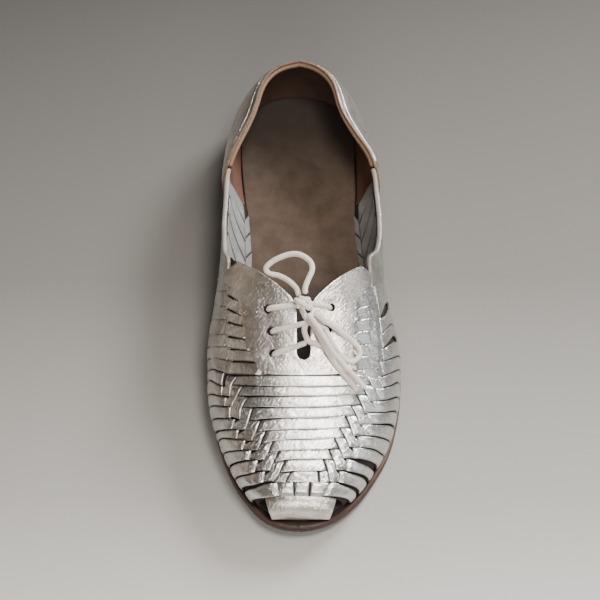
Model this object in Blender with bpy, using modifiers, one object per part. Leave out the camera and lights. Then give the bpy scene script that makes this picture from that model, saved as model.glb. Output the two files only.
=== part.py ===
"""A woven lace-up shoe (huarache) for the left foot, empty and standing on its sole.

Frame: the toe points to -Y, the heel to +Y, the inner (big toe) side is -X and +Z is up.
A station runs from 0 at the toe tip along the sole to TURN, and then round the heel to BACK.
Sizes are in millimetres up to the place where a mesh is made, which is in metres.
"""

from functools import lru_cache

import bmesh
import bpy
import numpy as np

MM = 0.001

# Driving dimensions
LENGTH = 250.0
TOE_ROUND = 70.0
HEEL_ROUND = 35.0
HEEL_SQUARE = 2.35
TURN = LENGTH - HEEL_ROUND
BACK = TURN + 45.0
HEEL_BLOCK = 10.0
HEEL_FRONT = 180.0
OUTSOLE = 3.0
MIDSOLE = 2.4
INSOLE = 1.6
WALL = 1.6
COUNTER = 1.3
COUNTER_RISE = 0.5
SLACK = 0.65
GAP = 0.3
LEDGE = 2.2
EDGE_ROUND = 0.9
SLOT_END = 73.0
VENT = 9.0
STRAP_TOP = 17.0
STRAP_FOOT = 13.5
LACE = 2.8
LACE_STEP = 4.6
KNOT_PLACE = (-1.5, 95.0, 60.8)
KNOT_SIZE = (10.0, 6.8, 5.0)

INNER = -1
OUTER = 1


class Table:
    """Named columns of values against the station, joined by a curve that doesn't overshoot."""

    def __init__(self, columns, *rows):
        self.stations = np.array([row[0] for row in rows], float)
        self.steps = np.diff(self.stations)
        names = columns.split()
        self.values = {n: np.array([row[k] for row in rows], float) for k, n in enumerate(names)}
        self.slopes = {name: self.slope(values) for name, values in self.values.items()}

    def slope(self, values):
        rate = np.diff(values) / self.steps
        slope = np.zeros_like(values)
        slope[0], slope[-1] = rate[0], rate[-1]
        for k in range(1, len(values) - 1):
            if rate[k - 1] * rate[k] > 0:
                near, far = self.steps[k - 1], self.steps[k]
                mean = (rate[k - 1] * far + rate[k] * near) / (near + far)
                most = 3 * min(abs(rate[k - 1]), abs(rate[k]))
                slope[k] = np.clip(mean, -most, most)
        return slope

    def at(self, name, station):
        t = np.clip(station, self.stations[0], self.stations[-1])
        i = np.clip(np.searchsorted(self.stations, t, side="right") - 1, 0, len(self.steps) - 1)
        step, values, slopes = self.steps[i], self.values[name], self.slopes[name]
        q = (t - self.stations[i]) / step
        rise = q * q * (3 - 2 * q)
        start = q * (1 - q) ** 2 * step * slopes[i]
        end = q * q * (1 - q) * step * slopes[i + 1]
        return values[i] * (1 - rise) + values[i + 1] * rise + start - end


# The sole's outline before its ends are rounded: the middle of it, and half its width.
SOLE = Table(
    "station centre half",
    (0, -4.0, 46.0),
    (15, -2.3, 43.2),
    (26, -1.7, 43.4),
    (40, -0.8, 44.5),
    (55, -0.5, 45.4),
    (71, 0.1, 46.1),
    (85, 0.9, 46.2),
    (97, 1.5, 44.2),
    (109, 1.7, 40.4),
    (121, 1.4, 36.4),
    (134, 0.5, 33.1),
    (150, -0.9, 31.2),
    (168, -2.4, 31.0),
    (185, -3.3, 32.2),
    (TURN, -4.3, 33.2),
    (BACK, -4.3, 33.2),
)

# How high the underside stands: toe spring, flat forefoot, arch, and the heel block's top.
LIFT = Table(
    "station height",
    (0, 6.0),
    (12, 4.0),
    (26, 2.0),
    (45, 0.4),
    (60, 0.0),
    (95, 0.0),
    (115, 1.6),
    (140, 6.0),
    (165, 9.5),
    (HEEL_FRONT, HEEL_BLOCK + GAP),
    (BACK, HEEL_BLOCK + GAP),
)

# The last: height and place of its ridge, how far each side swells past the feather line, and
# how square its arch is. Behind the throat the ridge is only where the side walls aim.
LAST = Table(
    "station ridge middle swell_inner swell_outer square",
    (0, 12.0, -3.2, 0.4, 0.4, 2.2),
    (2, 17.0, -3.0, 0.8, 0.8, 2.3),
    (5, 21.0, -2.9, 1.2, 1.0, 2.4),
    (9, 24.8, -2.7, 1.6, 1.2, 2.5),
    (18, 29.0, -2.4, 2.6, 1.8, 2.5),
    (34, 33.2, -2.0, 3.6, 2.4, 2.5),
    (49, 37.0, -1.7, 4.8, 2.8, 2.4),
    (66, 41.8, -1.5, 6.2, 3.0, 2.3),
    (82, 47.5, -1.5, 7.6, 3.0, 2.2),
    (100, 55.5, -1.5, 10.6, 3.2, 2.2),
    (120, 67.0, -1.5, 13.4, 5.4, 2.2),
    (145, 82.0, -1.6, 14.4, 11.0, 2.2),
    (168, 83.0, -2.5, 12.2, 12.0, 2.15),
    (185, 73.0, -3.2, 10.8, 12.0, 2.0),
    (200, 66.0, -3.9, 8.2, 8.8, 1.95),
    (TURN, 62.5, -4.3, 4.4, 4.2, 2.05),
    (235, 66.5, -4.3, 0.8, 1.0, 2.05),
    (BACK, 73.0, -4.3, 1.0, 1.5, 2.15),
)

# Half the gap between the two sides of the upper: the lace slot, then the V of the throat.
THROAT = Table(
    "station half",
    (SLOT_END, 0.0),
    (75, 2.4),
    (80, 3.3),
    (95, 3.3),
    (100, 5.0),
    (106, 11.0),
    (114, 21.0),
    (120, 29.0),
    (125, 34.0),
)

# Height of the collar from the side straps to the back seam.
COLLAR = Table(
    "station height",
    (132, 44.0),
    (145, 43.5),
    (155, 44.5),
    (170, 47.0),
    (181, 49.5),
    (200, 52.5),
    (225, 55.0),
    (BACK, 56.5),
)

# Front edge of the heel counter, against the share of the wall's height.
COUNTER_FRONT = Table(
    "share station",
    (0.0, 174.0),
    (0.45, 168.5),
    (0.8, 174.0),
    (1.0, 181.0),
)


# The free lace, as (x, u, z) on its centre line, from the knot outwards.
CORDS = {
    "lace_loop_up": (
        (-0.6, 99.9, 61.2),
        (-0.8, 102.8, 61.9),
        (0.7, 107.1, 63.0),
        (2.6, 111.8, 64.0),
        (1.4, 116.3, 64.5),
        (-3.4, 120.2, 64.0),
        (-8.8, 120.8, 63.0),
        (-15.6, 118.8, 61.0),
        (-19.6, 115.9, 59.0),
        (-18.3, 113.5, 57.6),
        (-13.5, 112.3, 57.3),
        (-8.8, 109.2, 57.8),
        (-5.0, 104.3, 58.8),
        (-3.8, 99.8, 59.6),
    ),
    "lace_loop_low": (
        (3.6, 91.4, 58.6),
        (6.0, 90.0, 57.2),
        (8.6, 88.3, 55.6),
        (11.5, 87.0, 54.1),
        (15.0, 85.6, 51.9),
        (17.9, 84.2, 49.5),
        (20.9, 83.0, 47.1),
        (23.4, 81.4, 45.0),
        (25.2, 79.5, 43.4),
        (25.4, 76.9, 42.4),
        (24.1, 74.6, 42.2),
        (21.8, 72.9, 42.6),
        (19.4, 72.9, 43.4),
        (17.1, 74.3, 44.6),
        (15.0, 76.3, 46.2),
        (13.1, 78.3, 48.4),
        (11.3, 80.5, 50.4),
        (9.8, 83.0, 52.4),
        (9.0, 84.6, 53.4),
    ),
    "lace_end_a": (
        (0.3, 90.1, 59.3),
        (3.0, 86.8, 58.1),
        (5.9, 83.0, 56.3),
        (8.4, 79.3, 54.6),
        (10.5, 76.1, 53.0),
        (12.6, 73.4, 50.9),
        (15.4, 71.1, 48.6),
        (18.0, 68.8, 46.4),
        (20.3, 66.9, 44.6),
        (22.9, 64.9, 42.7),
        (25.7, 62.6, 40.4),
        (28.0, 60.8, 38.4),
    ),
    "lace_end_b": (
        (0.9, 90.3, 56.1),
        (2.6, 87.6, 55.1),
        (5.1, 83.7, 53.0),
        (7.3, 79.9, 51.2),
        (9.2, 76.5, 49.5),
        (11.3, 73.7, 47.0),
        (13.7, 70.5, 44.3),
        (16.7, 67.3, 42.4),
        (19.9, 64.5, 40.7),
        (22.8, 61.4, 38.9),
        (24.1, 59.4, 37.9),
    ),
}

# The strands that cross the slot, left to right and down. Each touches the one before it.
BARS = (
    ((-17.8, 96.5, 53.6), (-13.8, 96.4, 54.5), (-9.6, 96.6, 55.3), (-5.9, 96.8, 55.9),
     (-1.5, 97.1, 56.4), (3.7, 97.2, 56.0), (7.5, 96.9, 55.5), (10.8, 96.9, 54.9)),
    ((-3.0, 97.0, 56.2), (-1.6, 93.3, 54.5), (0.7, 89.9, 52.8), (4.5, 87.3, 51.5), (8.4, 86.5, 50.8)),
    ((-16.1, 86.5, 49.8), (-10.5, 87.0, 51.0), (-4.8, 87.9, 51.9), (-0.1, 88.9, 52.4)),
    ((0.2, 89.4, 52.7), (-1.2, 85.5, 51.1), (0.8, 80.9, 49.1), (4.7, 79.5, 48.3), (7.2, 78.6, 47.8)),
    ((-15.3, 76.1, 46.0), (-10.1, 77.1, 47.2), (-4.9, 78.5, 48.1), (-0.2, 80.1, 48.8)),
)


def rounded(gone, power):
    return (1 - np.clip(gone, 0, 1) ** power) ** (1 / power)


def outline(station, side, inset=0.0):
    """Plan point (x, u) of the sole's outline, moved in by inset. u runs from the toe."""
    t = np.asarray(station, float)
    u = np.where(t < TOE_ROUND, inset + t * (1 - inset / TOE_ROUND), np.minimum(t, TURN))
    half = (SOLE.at("half", t) - inset) * rounded((TOE_ROUND - t) / TOE_ROUND, 2)
    turn = np.clip((t - TURN) / (BACK - TURN), 0, 1) * np.pi / 2
    across = np.cos(turn) / half
    along = np.sin(turn) / (HEEL_ROUND - inset)
    reach = (across**HEEL_SQUARE + along**HEEL_SQUARE) ** (-1 / HEEL_SQUARE)
    x = SOLE.at("centre", t) + side * reach * np.cos(turn)
    return x, u + reach * np.sin(turn)


def underside(u):
    return LIFT.at("height", u)


def feather(u):
    """Height at which the upper and the insole stand on the midsole."""
    return underside(u) + OUTSOLE + MIDSOLE + 2 * GAP


def form(station, side, share):
    """Point of the upper's outer form. share runs from 0 at the feather line to 1 at the ridge."""
    t, p = np.broadcast_arrays(np.asarray(station, float), np.asarray(share, float))
    foot_x, foot_u = outline(t, side, LEDGE)
    middle = LAST.at("middle", t)
    centre_u = np.where(t < TURN, foot_u, TURN)
    power = 2 / LAST.at("square", t)
    swell = LAST.at("swell_inner" if side == INNER else "swell_outer", t) * 6.75 * p * (1 - p) ** 2
    dx, du = foot_x - middle, foot_u - centre_u
    reach = np.maximum(np.hypot(dx, du), 1e-6)
    out = np.cos(p * np.pi / 2).clip(0) ** power + swell / reach
    base = feather(foot_u)
    z = base + (LAST.at("ridge", t) - base) * np.sin(p * np.pi / 2) ** power
    return np.stack([middle + dx * out, centre_u + du * out, z], -1)


def lifted(station, side, share, height):
    """Point at a height above the outer form, along the form's normal."""
    step_t, step_p = 0.4, 0.004
    t0, t1 = station - step_t, station + step_t
    p0, p1 = max(share - step_p, 0.002), min(share + step_p, 0.998)
    p0, p1 = min(p0, 0.99), max(p1, 0.01)
    along = form(t1, side, share) - form(t0, side, share)
    up = form(station, side, p1) - form(station, side, p0)
    normal = np.cross(along, up) * side
    return form(station, side, share) + height * normal / np.linalg.norm(normal)


def search(test):
    """Largest share of the wall for which the test still holds."""
    low, high = 0.0, 1.0
    for _ in range(30):
        middle = (low + high) / 2
        low, high = (middle, high) if test(middle) else (low, middle)
    return low


def at_throat(station, side):
    half = THROAT.at("half", station)
    middle = LAST.at("middle", station)
    return search(lambda p: p < 0.3 or abs(form(station, side, p)[0] - middle) > half)


def at_collar(station, side):
    height = COLLAR.at("height", station)
    return search(lambda p: form(station, side, p)[2] < height)


@lru_cache(maxsize=None)
def top_share(station, side):
    """Share of the wall at which the upper ends above this station."""
    throat_end, collar_start = THROAT.stations[-1], COLLAR.stations[0]
    if station <= SLOT_END:
        return 1.0
    if station <= throat_end:
        return at_throat(station, side)
    if station >= collar_start:
        return at_collar(station, side)
    q = (station - throat_end) / (collar_start - throat_end)
    q = q * q * (3 - 2 * q)
    return (1 - q) * at_throat(throat_end, side) + q * at_collar(collar_start, side)


def front_point(x, u):
    """Point of the toe's form above a plan point."""
    station = (u - LEDGE) / (1 - LEDGE / TOE_ROUND)
    middle = LAST.at("middle", station)
    side = INNER if x < middle else OUTER
    p = search(lambda p: abs(form(station, side, p)[0] - middle) > abs(x - middle))
    return form(station, side, p)


def to_world(point):
    return (point[0] * MM, (point[1] - LENGTH / 2) * MM, point[2] * MM)


def clear_scene():
    for obj in list(bpy.data.objects):
        bpy.data.objects.remove(obj, do_unlink=True)
    for collection in list(bpy.data.collections):
        bpy.data.collections.remove(collection)


def material(name, colour, roughness, metallic=0.0):
    made = bpy.data.materials.new(name)
    made.use_nodes = True
    shader = made.node_tree.nodes["Principled BSDF"]
    shader.inputs["Base Color"].default_value = (*colour, 1)
    shader.inputs["Roughness"].default_value = roughness
    shader.inputs["Metallic"].default_value = metallic
    return made


class Builder:
    """Collects points by key, so that faces which share a key share a point."""

    def __init__(self):
        self.index = {}
        self.points = []
        self.faces = []

    def point(self, key, place):
        if key not in self.index:
            self.index[key] = len(self.points)
            self.points.append(to_world(place))
        return self.index[key]

    def face(self, *corners):
        self.faces.append(corners)

    def make(self, name, collection, finish):
        mesh = bpy.data.meshes.new(name)
        mesh.from_pydata(self.points, [], self.faces)
        mesh.validate()
        mesh.materials.append(finish)
        mesh.shade_smooth()
        mesh.set_sharp_from_angle(angle=np.radians(40))
        obj = bpy.data.objects.new(name, mesh)
        collection.objects.link(obj)
        return obj


def loft(name, rings, collection, finish):
    """A solid through closed rings of equally many points, with flat ends."""
    built = Builder()
    count = len(rings[0])
    rows = [
        [built.point((i, j), place) for j, place in enumerate(ring)]
        for i, ring in enumerate(rings)
    ]
    for near, far in zip(rows, rows[1:]):
        for j in range(count):
            k = (j + 1) % count
            built.face(near[j], near[k], far[k], far[j])
    built.face(*reversed(rows[0]))
    built.face(*rows[-1])
    obj = built.make(name, collection, finish)
    face_outwards(obj.data)
    return obj


def face_outwards(mesh):
    work = bmesh.new()
    work.from_mesh(mesh)
    bmesh.ops.recalc_face_normals(work, faces=work.faces)
    work.to_mesh(mesh)
    work.free()


def sole_stations():
    """Stations from the toe tip to the back, close together where the outline turns."""
    turn = np.linspace(0.045, 1, 15) * np.pi / 2
    toe = TOE_ROUND * (1 - np.cos(turn))
    middle = np.linspace(TOE_ROUND, TURN, 19)[1:]
    heel = np.linspace(TURN, BACK - 1.0, 13)[1:]
    return np.concatenate([toe, middle, heel])


def sole_layer(name, inset, base, thickness, collection, finish):
    """A layer of the sole: its lower edge is eased, and base gives its underside's height."""
    rings = []
    for station in sole_stations():
        ring = []
        for side, order in ((INNER, 1), (OUTER, -1)):
            corners = []
            for more, rise in ((EDGE_ROUND, 0), (0, EDGE_ROUND), (0, thickness)):
                x, u = outline(station, side, inset + more)
                corners.append((x, u, base(u) + rise))
            ring += corners[::order]
        rings.append(ring)
    return loft(name, rings, collection, finish)


def heel_block(collection, finish):
    """The stacked heel, slightly narrower where it meets the ground."""
    stations = np.concatenate([[HEEL_FRONT, 192, 204], np.linspace(TURN, BACK - 1.0, 12)])
    rings = []
    for inset, height in ((1.6, 0.0), (1.0, 0.6), (0.3, HEEL_BLOCK)):
        inner = [(*outline(t, INNER, inset), height) for t in stations]
        outer = [(*outline(t, OUTER, inset), height) for t in stations]
        rings.append(inner + outer[::-1])
    return loft("heel", rings, collection, finish)


def shell_stations():
    toe = np.array([VENT, 13, 18, 23.5, 29.5, 36, 43, 50.5, 58, 66])
    throat = np.array([SLOT_END, 74.5, 77, 81, 88, 95, 99, 102.5, 106, 110, 114, 119, 125])
    waist = np.array([132, 140, 149, 158, 167, 176, 185, 195, 205])
    heel = np.linspace(TURN, BACK, 12)
    return np.concatenate([toe, throat, waist, heel])


ROWS = 11


def upper(collection, finish):
    """The woven vamp, throat plate, quarters, straps and lining as one open wall."""
    built = Builder()
    stations = shell_stations()

    def corner(i, side, j):
        t = stations[i]
        share = (j / ROWS) ** 0.9 * top_share(t, side)
        closed = (j == ROWS and t <= SLOT_END) or i == len(stations) - 1
        return built.point((i, 0 if closed else side, j), form(t, side, share))

    for side in (INNER, OUTER):
        for i in range(len(stations) - 1):
            for j in range(ROWS):
                square = (
                    corner(i, side, j),
                    corner(i, side, j + 1),
                    corner(i + 1, side, j + 1),
                    corner(i + 1, side, j),
                )
                built.face(*square[:: -side])
    toe_strap(built, stations)
    obj = built.make("upper", collection, finish)
    thicken(obj, WALL)
    return obj


def toe_strap(built, stations):
    """The wide strap that closes the toe, from the front of the weave down to the sole."""
    columns = []
    for side in (INNER, OUTER):
        for j in range(ROWS + 1):
            place = form(stations[0], side, (j / ROWS) ** 0.9)
            if abs(place[0] - LAST.at("middle", VENT)) < STRAP_TOP:
                columns.append((place[0], (0, 0 if j == ROWS else side, j)))
    columns = sorted(dict((key, x) for x, key in columns).items(), key=lambda item: item[1])
    wide = columns[-1][1] - columns[0][1]
    middle = (columns[-1][1] + columns[0][1]) / 2
    steps = 6
    lattice = []
    for key, x in columns:
        line = [built.index[key]]
        start = outline(VENT, OUTER, LEDGE)[1]
        for step in range(1, steps + 1):
            q = step / steps
            narrow = 1 + (2 * STRAP_FOOT / wide - 1) * q
            here = middle + (x - middle) * narrow
            foot = search_foot(here)
            u = start + (foot - start) * np.sin(q * np.pi / 2)
            line.append(built.point(("strap", key, step), front_point(here, u)))
        lattice.append(line)
    for near, far in zip(lattice, lattice[1:]):
        for step in range(steps):
            built.face(near[step], near[step + 1], far[step + 1], far[step])


def search_foot(x):
    """How far back from the toe tip the feather line crosses this x."""
    low, high = 0.0, 30.0
    for _ in range(30):
        station = (low + high) / 2
        inner = outline(station, INNER, LEDGE)[0] > x
        outer = outline(station, OUTER, LEDGE)[0] < x
        low, high = (station, high) if inner or outer else (low, station)
    return outline(high, OUTER, LEDGE)[1] + 0.02


def thicken(obj, thickness):
    wall = obj.modifiers.new("wall", "SOLIDIFY")
    wall.thickness = thickness * MM
    wall.offset = -1
    wall.use_even_offset = True
    return obj


def heel_counter(collection, finish):
    """The shell round the heel, cut between two forms larger than the upper's own."""
    built = Builder()
    behind = [t for t in shell_stations() if t > COUNTER_FRONT.at("station", 1.0)]
    last = len(behind) + 1

    def corner(side, i, j):
        share = (j / ROWS) ** 0.9
        front = COUNTER_FRONT.at("station", share)
        t = behind[i - 2] if i > 1 else front + (behind[0] - front) * i / 2
        at = share * top_share(t, side)
        t = min(t, BACK - 0.4)
        if j == 0:
            floor = feather(outline(t, side, LEDGE)[1]) + COUNTER_RISE
            at = search(lambda p: lifted(t, side, p, SLACK + COUNTER)[2] < floor)
        x, u, z = lifted(t, side, at, SLACK + COUNTER)
        x = LAST.at("middle", BACK) if i == last else x
        return built.point((0 if i == last else side, i, j), (x, u, z))

    for side in (INNER, OUTER):
        for i in range(last):
            for j in range(ROWS):
                square = (
                    corner(side, i, j),
                    corner(side, i, j + 1),
                    corner(side, i + 1, j + 1),
                    corner(side, i + 1, j),
                )
                built.face(*square[:: -side])
    obj = built.make("heel_counter", collection, finish)
    return thicken(obj, COUNTER)


def smooth_route(points, step):
    """Points about a step apart along a smooth curve through the given ones."""
    given = np.array(points, float)
    ends = np.vstack([2 * given[0] - given[1], given, 2 * given[-1] - given[-2]])
    fine = []
    for before, start, stop, after in zip(ends, ends[1:], ends[2:], ends[3:]):
        for q in np.arange(0, 1, 0.05):
            bend = (2 * before - 5 * start + 4 * stop - after) * q * q
            twist = (3 * start - before - 3 * stop + after) * q**3
            fine.append(0.5 * (2 * start + (stop - before) * q + bend + twist))
    fine = np.array(fine + [given[-1]])
    along = np.concatenate([[0], np.cumsum(np.linalg.norm(np.diff(fine, axis=0), axis=1))])
    wanted = np.linspace(0, along[-1], max(2, round(along[-1] / step) + 1))
    return np.stack([np.interp(wanted, along, fine[:, k]) for k in range(3)], -1)


def tube(name, points, collection, finish):
    """A length of lace with flat ends."""
    curve = bpy.data.curves.new(name, "CURVE")
    curve.dimensions = "3D"
    curve.bevel_depth = LACE / 2 * MM
    curve.bevel_resolution = 2
    curve.use_fill_caps = True
    route = smooth_route(points, LACE_STEP)
    line = curve.splines.new("POLY")
    line.points.add(len(route) - 1)
    for point, place in zip(line.points, route):
        point.co = (*to_world(place), 1)
    curve.materials.append(finish)
    obj = bpy.data.objects.new(name, curve)
    collection.objects.link(obj)
    return obj


def as_mesh(obj):
    """The same tube as a closed mesh, which a Boolean can take."""
    bpy.context.view_layer.update()
    graph = bpy.context.evaluated_depsgraph_get()
    mesh = bpy.data.meshes.new_from_object(obj.evaluated_get(graph))
    work = bmesh.new()
    work.from_mesh(mesh)
    bmesh.ops.remove_doubles(work, verts=work.verts, dist=0.01 * MM)
    work.to_mesh(mesh)
    work.free()
    made = bpy.data.objects.new(obj.name + "_mesh", mesh)
    made.matrix_world = obj.matrix_world
    for collection in obj.users_collection:
        collection.objects.link(made)
    bpy.data.objects.remove(obj, do_unlink=True)
    return made


def lace_bars(collection, helpers, finish):
    """The crossings of the lace over the slot, joined where they touch."""
    strands = [
        as_mesh(tube(f"bar_{k}", points, helpers if k else collection, finish))
        for k, points in enumerate(BARS)
    ]
    bars = strands[0]
    bars.name = "lace_bars"
    for strand in strands[1:]:
        strand.hide_render = True
        strand.display_type = "WIRE"
        join = bars.modifiers.new(strand.name, "BOOLEAN")
        join.operation = "UNION"
        join.solver = "EXACT"
        join.object = strand


def lace_knot(collection, finish):
    mesh = bpy.data.meshes.new("lace_knot")
    work = bmesh.new()
    bmesh.ops.create_uvsphere(work, u_segments=16, v_segments=10, radius=0.5)
    bmesh.ops.scale(work, vec=[size * MM for size in KNOT_SIZE], verts=work.verts)
    work.to_mesh(mesh)
    work.free()
    mesh.shade_smooth()
    mesh.materials.append(finish)
    knot = bpy.data.objects.new("lace_knot", mesh)
    knot.location = to_world(KNOT_PLACE)
    collection.objects.link(knot)


def main():
    clear_scene()
    shoe = bpy.data.collections.new("lace_up_shoe")
    helpers = bpy.data.collections.new("helpers")
    for collection in (shoe, helpers):
        bpy.context.scene.collection.children.link(collection)
    rubber = material("dark_brown_sole", (0.06, 0.035, 0.02), 0.6)
    stack = material("stacked_leather", (0.10, 0.055, 0.035), 0.55)
    tan = material("brown_leather_edge", (0.16, 0.09, 0.06), 0.5)
    bed = material("taupe_footbed", (0.20, 0.14, 0.10), 0.65)
    silver = material("silver_leather", (0.72, 0.71, 0.69), 0.35, 0.8)
    cord = material("cream_cord", (0.80, 0.72, 0.62), 0.8)

    heel_block(shoe, stack)
    sole_layer("outsole", 0, underside, OUTSOLE, shoe, rubber)
    sole_layer("midsole", 0, lambda u: underside(u) + OUTSOLE + GAP, MIDSOLE, shoe, tan)
    sole_layer("insole", LEDGE + WALL + GAP + 0.2, feather, INSOLE, shoe, bed)
    upper(shoe, silver)
    heel_counter(shoe, silver)
    lace_bars(shoe, helpers, cord)
    lace_knot(shoe, cord)
    for name, points in CORDS.items():
        tube(name, points, shoe, cord)


main()
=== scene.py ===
"""A woven silver lace-up shoe for the left foot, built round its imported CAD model.

Frame: the toe points to -Y, the heel to +Y, the inner (big toe) side is -X and +Z is up.
Places on the upper are (station, share): a station runs from the toe tip back along the sole, in
millimetres, and the share runs from 0 at the feather line to 1 at the ridge. Across both sides the
share becomes a signed place: 0 at the ridge, -1 at the inner and 1 at the outer feather line.

Points in CORDS, ROWS_OF_BARS, LIPS, STRIP_GAPS, CELL_GAPS and PLATE_MARGIN were marked by eye on a
photograph, put into these units by a separate program, and partly changed by hand afterwards. They
aren't worked out from the shoe's sizes, so they don't follow a change of size.
"""

from functools import partial
from itertools import product

import bmesh
import bpy
import numpy as np
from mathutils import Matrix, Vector


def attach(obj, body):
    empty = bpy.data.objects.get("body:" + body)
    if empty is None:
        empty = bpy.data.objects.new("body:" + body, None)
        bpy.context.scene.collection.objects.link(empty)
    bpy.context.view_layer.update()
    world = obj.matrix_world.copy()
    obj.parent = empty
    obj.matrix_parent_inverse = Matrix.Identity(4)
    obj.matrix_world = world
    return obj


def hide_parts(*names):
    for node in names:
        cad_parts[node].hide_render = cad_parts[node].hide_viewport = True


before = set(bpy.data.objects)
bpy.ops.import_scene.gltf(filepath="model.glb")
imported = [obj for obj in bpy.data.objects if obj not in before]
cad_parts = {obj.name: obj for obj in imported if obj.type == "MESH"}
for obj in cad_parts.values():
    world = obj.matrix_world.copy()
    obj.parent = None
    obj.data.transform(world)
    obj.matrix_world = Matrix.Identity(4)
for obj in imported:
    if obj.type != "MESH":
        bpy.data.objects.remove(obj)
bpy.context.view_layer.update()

MM = 0.001

# Sizes shared with the solid model
LENGTH = 250.0
TOE_ROUND = 70.0
HEEL_ROUND = 35.0
HEEL_SQUARE = 2.35
TURN = LENGTH - HEEL_ROUND
BACK = TURN + 45.0
HEEL_BLOCK = 10.0
HEEL_FRONT = 180.0
OUTSOLE = 3.0
MIDSOLE = 2.4
INSOLE = 1.6
WALL = 1.6
GAP = 0.3
LEDGE = 2.2
SLOT_END = 73.0
SLOT_ROUND = 3.3
LACE = 2.8
KNOT_PLACE = (-1.5, 95.0, 60.8)

# The knot's turns, from its place.
KNOT_TURNS = (
    ((-3.6, 2.6, -1.6), (-3.0, 0.6, 0.9), (-0.4, -1.4, 1.5), (2.4, -2.6, 0.3), (3.2, -1.6, -1.4)),
    ((-3.2, -2.0, -1.2), (-1.6, -0.6, 0.6), (0.8, 1.2, 1.2), (2.9, 2.2, -0.6)),
    ((-2.6, 3.0, -0.4), (0.2, 2.2, -0.2), (3.0, 0.2, -0.6), (2.6, -2.2, -1.2)),
)

INNER = -1
OUTER = 1
SIDES = {INNER: "inner", OUTER: "outer"}


class Table:
    """Named columns of values against the station, joined by a curve that doesn't overshoot."""

    def __init__(self, columns, *rows):
        self.values = dict(zip(columns.split(), np.array(rows, float).T))
        self.stations = self.values["station"]
        self.steps = np.diff(self.stations)
        self.slopes = {name: self.slope(values) for name, values in self.values.items()}

    def slope(self, values):
        rate = np.diff(values) / self.steps
        slope = np.zeros_like(values)
        slope[0], slope[-1] = rate[0], rate[-1]
        for k in range(1, len(values) - 1):
            if rate[k - 1] * rate[k] > 0:
                near, far = self.steps[k - 1], self.steps[k]
                mean = (rate[k - 1] * far + rate[k] * near) / (near + far)
                most = 3 * min(abs(rate[k - 1]), abs(rate[k]))
                slope[k] = np.clip(mean, -most, most)
        return slope

    def at(self, name, station):
        t = np.clip(station, self.stations[0], self.stations[-1])
        i = np.clip(np.searchsorted(self.stations, t, side="right") - 1, 0, len(self.steps) - 1)
        step, values, slopes = self.steps[i], self.values[name], self.slopes[name]
        q = (t - self.stations[i]) / step
        rise = q * q * (3 - 2 * q)
        start = q * (1 - q) ** 2 * step * slopes[i]
        end = q * q * (1 - q) * step * slopes[i + 1]
        return values[i] * (1 - rise) + values[i + 1] * rise + start - end


# The sole's outline before its ends are rounded: the middle of it, and half its width.
SOLE = Table(
    "station centre half", (0, -4, 46), (15, -2.3, 43.2), (26, -1.7, 43.4), (40, -0.8, 44.5),
    (55, -0.5, 45.4), (71, 0.1, 46.1), (85, 0.9, 46.2), (97, 1.5, 44.2), (109, 1.7, 40.4), (121, 1.4, 36.4),
    (134, 0.5, 33.1), (150, -0.9, 31.2), (168, -2.4, 31), (185, -3.3, 32.2), (TURN, -4.3, 33.2),
    (BACK, -4.3, 33.2),
)

# How high the underside stands: toe spring, flat forefoot, arch, and the heel block's top.
LIFT = Table(
    "station height", (0, 6), (12, 4), (26, 2), (45, 0.4), (60, 0), (95, 0), (115, 1.6), (140, 6),
    (165, 9.5), (HEEL_FRONT, HEEL_BLOCK + GAP), (BACK, HEEL_BLOCK + GAP),
)

# The last: height and place of its ridge, how far each side swells past the feather line, and
# how square its arch is. Behind the throat the ridge is only where the side walls aim.
LAST = Table(
    "station ridge middle swell_inner swell_outer square", (0, 12, -3.2, 0.4, 0.4, 2.2),
    (2, 17, -3, 0.8, 0.8, 2.3), (5, 21, -2.9, 1.2, 1, 2.4), (9, 24.8, -2.7, 1.6, 1.2, 2.5),
    (18, 29, -2.4, 2.6, 1.8, 2.5), (34, 33.2, -2, 3.6, 2.4, 2.5), (49, 37, -1.7, 4.8, 2.8, 2.4),
    (66, 41.8, -1.5, 6.2, 3, 2.3), (82, 47.5, -1.5, 7.6, 3, 2.2), (100, 55.5, -1.5, 10.6, 3.2, 2.2),
    (120, 67, -1.5, 13.4, 5.4, 2.2), (145, 82, -1.6, 14.4, 11, 2.2), (168, 83, -2.5, 12.2, 12, 2.15),
    (185, 73, -3.2, 10.8, 12, 2), (200, 66, -3.9, 8.2, 8.8, 1.95), (TURN, 62.5, -4.3, 4.4, 4.2, 2.05),
    (235, 66.5, -4.3, 0.8, 1, 2.05), (BACK, 73, -4.3, 1, 1.5, 2.15),
)

# Half the gap between the two sides of the upper: the lace slot, then the V of the throat.
THROAT = Table(
    "station half", (SLOT_END, 0), (75, 2.4), (80, 3.3), (95, 3.3), (100, 5), (106, 11), (114, 21),
    (120, 29), (125, 34),
)

# Height of the collar from the side straps to the back seam.
COLLAR = Table(
    "station height", (132, 44), (145, 43.5), (155, 44.5), (170, 47), (181, 49.5), (200, 52.5), (225, 55),
    (BACK, 56.5),
)

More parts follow.
